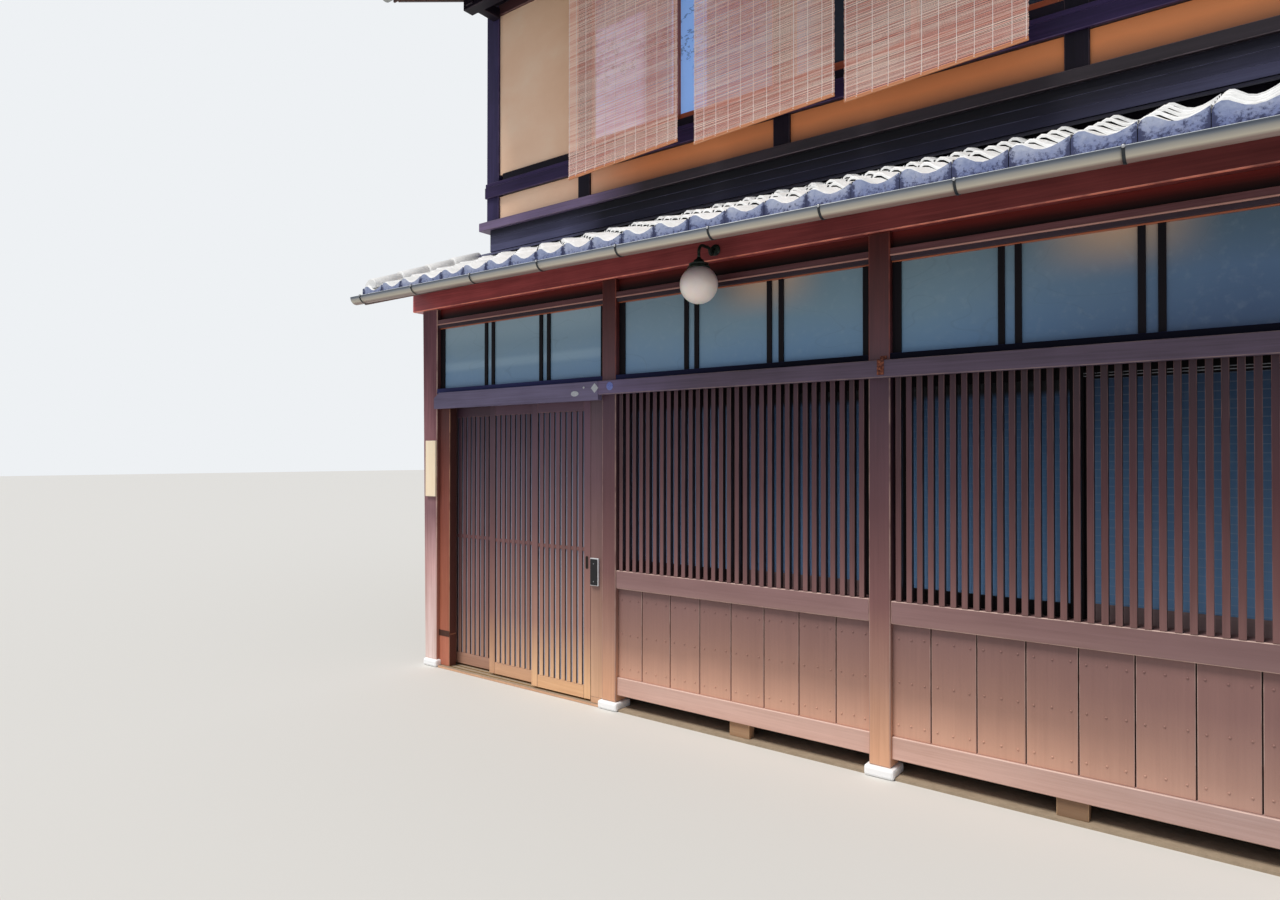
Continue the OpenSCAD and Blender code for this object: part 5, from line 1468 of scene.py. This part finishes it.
reed_tone = timber("split_reed", [(0, "#e08a78", "#ffdccc")], "#ffe8dc", 0.6, contrast=2.6)
batten_tone = timber("blind_batten", [(0, "#b8683f", "#dc966a")], "#e0a880", 0.5)
thread_tone = speckled("pale_thread", 700.0, 2.0, "#f0e6e0", "#ffffff", 0.8)
blind_x = (-1.152, -0.018, 1.042)
blind_w = 1.000
blind_low = 3.7368
blind_high = 5.2668
blind_y = 0.413
batten_y = (0.405, 0.421)
batten_h = 0.020
reed_pitch = 0.0062
reed_count = int((blind_high - blind_low - 0.044) / reed_pitch)
reed = joinery("reed", [((blind_w, 0.0020, 0.0041), Matrix.Identity(4))], 0.0009, reed_tone)
reeds = laid("blind_reeds", reed, reed_tone, [
    {"rows": reed_count, "first": (x, blind_y + front, blind_low + 0.0235), "row_step": (0, 0, reed_pitch),
     "jitter": (0.0022, 0.0005, 0.0007), "wobble": (0.05, 0.0009, 0.0004)} for x in blind_x], 221)
thread_places = ((10, 0.4208, 0.0935), (2, 0.489, 0.978))
thread = joinery("thread", [((0.0026, 0.0006, blind_high - blind_low - 0.030), Matrix.Identity(4))],
                 0, thread_tone)
threads = laid("blind_threads", thread, thread_tone, [
    {"columns": count, "rows": 2, "first": (x - reach, 0.4105 + front, (blind_low + blind_high) / 2),
     "column_step": (step, 0, 0), "row_step": (0, 0.005, 0), "jitter": (0.0012, 0, 0)}
    for x in blind_x for count, reach, step in thread_places], 222)
battens = joinery("blind_battens", [
    beam((x - blind_w / 2, x + blind_w / 2), batten_y, (z, z + batten_h)) for x in blind_x
    for z in (blind_low, blind_high - batten_h)], 0.004, batten_tone, 223, 2)
knot = turned("knot", [(0, -0.0032), (0.0028, -0.0016), (0.0034, 0), (0.0028, 0.0016), (0, 0.0032)],
              thread_tone, 8)
knots = laid("blind_knots", knot, thread_tone, [
    {"columns": count, "rows": 2, "first": (x - reach, y + front, blind_low + 0.010),
     "column_step": (step, 0, 0), "row_step": (0, 0, 0.0125), "jitter": (0.001, 0, 0.001)}
    for x in blind_x for count, reach, step in thread_places for y in (0.4048, 0.4212)], 224)
cord = turned("cord", [(0.003, 0), (0.003, 0.109), (0, 0.110)], thread_tone, 10)
cords = laid("blind_cords", cord, thread_tone, [
    {"columns": 2, "first": (x - 0.440, blind_y + front, blind_high), "column_step": (0.880, 0, 0)}
    for x in blind_x], 225)
foot_lift = 0.0225
foot_slope = 0.056
for piece in (reeds, threads, battens, knots):
    for vert in piece.data.vertices:
        middle = min(blind_x, key=lambda x: abs(vert.co.x - x))
        slack = (blind_high - vert.co.z) / (blind_high - blind_low)
        vert.co.z += slack * (foot_lift + foot_slope * (vert.co.x - middle))
for piece in (reeds, threads, battens, knots, cords):
    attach(piece, "house")
    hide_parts("reed_blinds")

# Outer beam of the main eave, carried on five arms that reach out from the upper posts.

outer = joinery("outer_beam_and_arms", [beam((-2.800, 2.9255), (0.360, 0.460), (5.3768, 5.5068))] + [
    beam((x - 0.040, x + 0.040), (0.345, upper_y), (5.3968, 5.4868))
    for x in (-corner_x, -mid_x, 0, mid_x, corner_x)],
    0.005, dark_stain, 231)
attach(outer, "house")
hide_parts("outer_beams")

# Upper floor: wide planed boards, which show only from inside.

floor_boards = Finish("planed_floor_boards")
px, py, pz = floor_boards.place().parts()
board_number = (px / 0.20).maths("FLOOR")
board_luck = ((board_number * 12.9898).maths("SINE") * 437.58) % 1.0
across = (px / 0.20) % 1.0
joint = floor_boards.step(across, 0.0, 0.02) * (1 - floor_boards.step(across, 0.98, 1.0))
where = floor_boards.node("ShaderNodeCombineXYZ", {}, {
    0: px * 60.0 + board_luck * 19.0, 1: py * 2.0, 2: pz * 60.0})
floor_grain = floor_boards.noise(where, 1.0, 4.0)
floor_boards.surface(
    Base_Color=floor_boards.blend(joint, "#3a2417", floor_boards.blend(
        (floor_grain * 0.6 + board_luck * 0.4).held(), "#8d6038", "#bd8d5c")),
    Roughness=floor_grain * 0.2 + 0.45, Normal=floor_boards.relief(joint * 2.0 + floor_grain, 0.002))
coated(floor_boards, "upper_floor")

# Side walls: where the row goes on, each side ends in a plain party wall, of upright charred
# boards with slim battens nailed over the joints.

side_board_w = 0.213
charred = Finish("charred_boards")
px, py, pz = charred.place().parts()
board_number = ((py - front) / side_board_w).maths("FLOOR")
board_luck = ((board_number * 12.9898 + px.maths("SIGN") * 3.7).maths("SINE") * 437.58) % 1.0
where = charred.node("ShaderNodeCombineXYZ", {}, {
    0: px * 40.0, 1: py * 60.0 + board_luck * 31.0, 2: pz * 2.2})
char_grain = charred.noise(where, 1.0, 5.0, 0.62)
char_cloud = charred.noise(charred.place(), 1.3, 4.0)
charred.surface(
    Base_Color=charred.ramp((char_grain * 0.5 + char_cloud * 0.28 + board_luck * 0.26).held(),
                            (0.3, "#1f1513"), (0.52, "#3a2620"), (0.72, "#5f4034")),
    Roughness=char_grain * 0.25 + 0.6, Normal=charred.relief(char_grain, 0.003))
coated(charred, "party_walls", "low_side_walls")


def wall_top(y):
    """Height of a side wall under the boards of the roof over it."""
    if y < upper_y:
        return beam_top + low_pitch * (y + 0.012) + 0.060
    return z_plate_top + main_pitch * min(y - upper_y, rear_y - y) + 0.060


batten_low = 0.075
first_batten = 0.1275
batten_count = 33
batten_members = []
for side in (-1, 1):
    for y in [first_batten + side_board_w * k for k in range(batten_count)]:
        if abs(y - 0.72) > 0.10:
            long = wall_top(y - 0.015) - 0.01 - batten_low
            batten_members.append(((0.012, 0.030, long), Matrix.Translation(
                (side * (wall_half + 0.006), y + front, batten_low + long / 2))))
wall_battens = joinery("party_wall_battens", batten_members, 0.002, timber(
    "charred_batten", [(0, "#1d1412", "#3c2822")], "#5c4036", 0.65), 241)
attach(wall_battens, "house")

# Rear of the house: four full-height posts on their stones, with plaster between them and a pair
# of sliding sashes in each bay of both storeys.

rear_posts = joinery("rear_posts_eased", [
    beam((x - post_w / 2, x + post_w / 2), rear_post_y, (stone_top, z_plate)) for x in post_x],
    0.006, dark_stain, 251, 2)
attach(rear_posts, "house")
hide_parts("rear_posts")
rear_window_half = 0.700
rear_window_h = 1.1
rear_window_feet = (0.900, 4.1638)
rear_sashes = joinery("rear_sash_members", [
    member for x in (-bay, 0, bay) for z in rear_window_feet
    for member in sash_pair((x - rear_window_half, x + rear_window_half), 7.180, (z, z + rear_window_h),
                            0.036, 0.036, -1)],
    0.002, red_stain, 252)
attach(rear_sashes, "house")
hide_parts("rear_window_frames")

# Frame of the main roof: rafters from both eaves to the ridge, sarking boards over them, and a
# board across the rafter ends, all in the wood of the lower roof's frame.

front_slope = roof_timbers(-0.190, 5.2593, main_pitch, 4.150)
ridge_place = Matrix.Translation((0, ridge_y + front, 0))
flip = ridge_place @ Matrix.Rotation(math.pi, 4, "Z") @ ridge_place.inverted()
main_frame = joinery("main_roof_timbers", front_slope + [(size, flip @ place) for size, place in front_slope],
                     0.003, eave_wood, 261)
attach(main_frame, "house")
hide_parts("main_roof_frames")
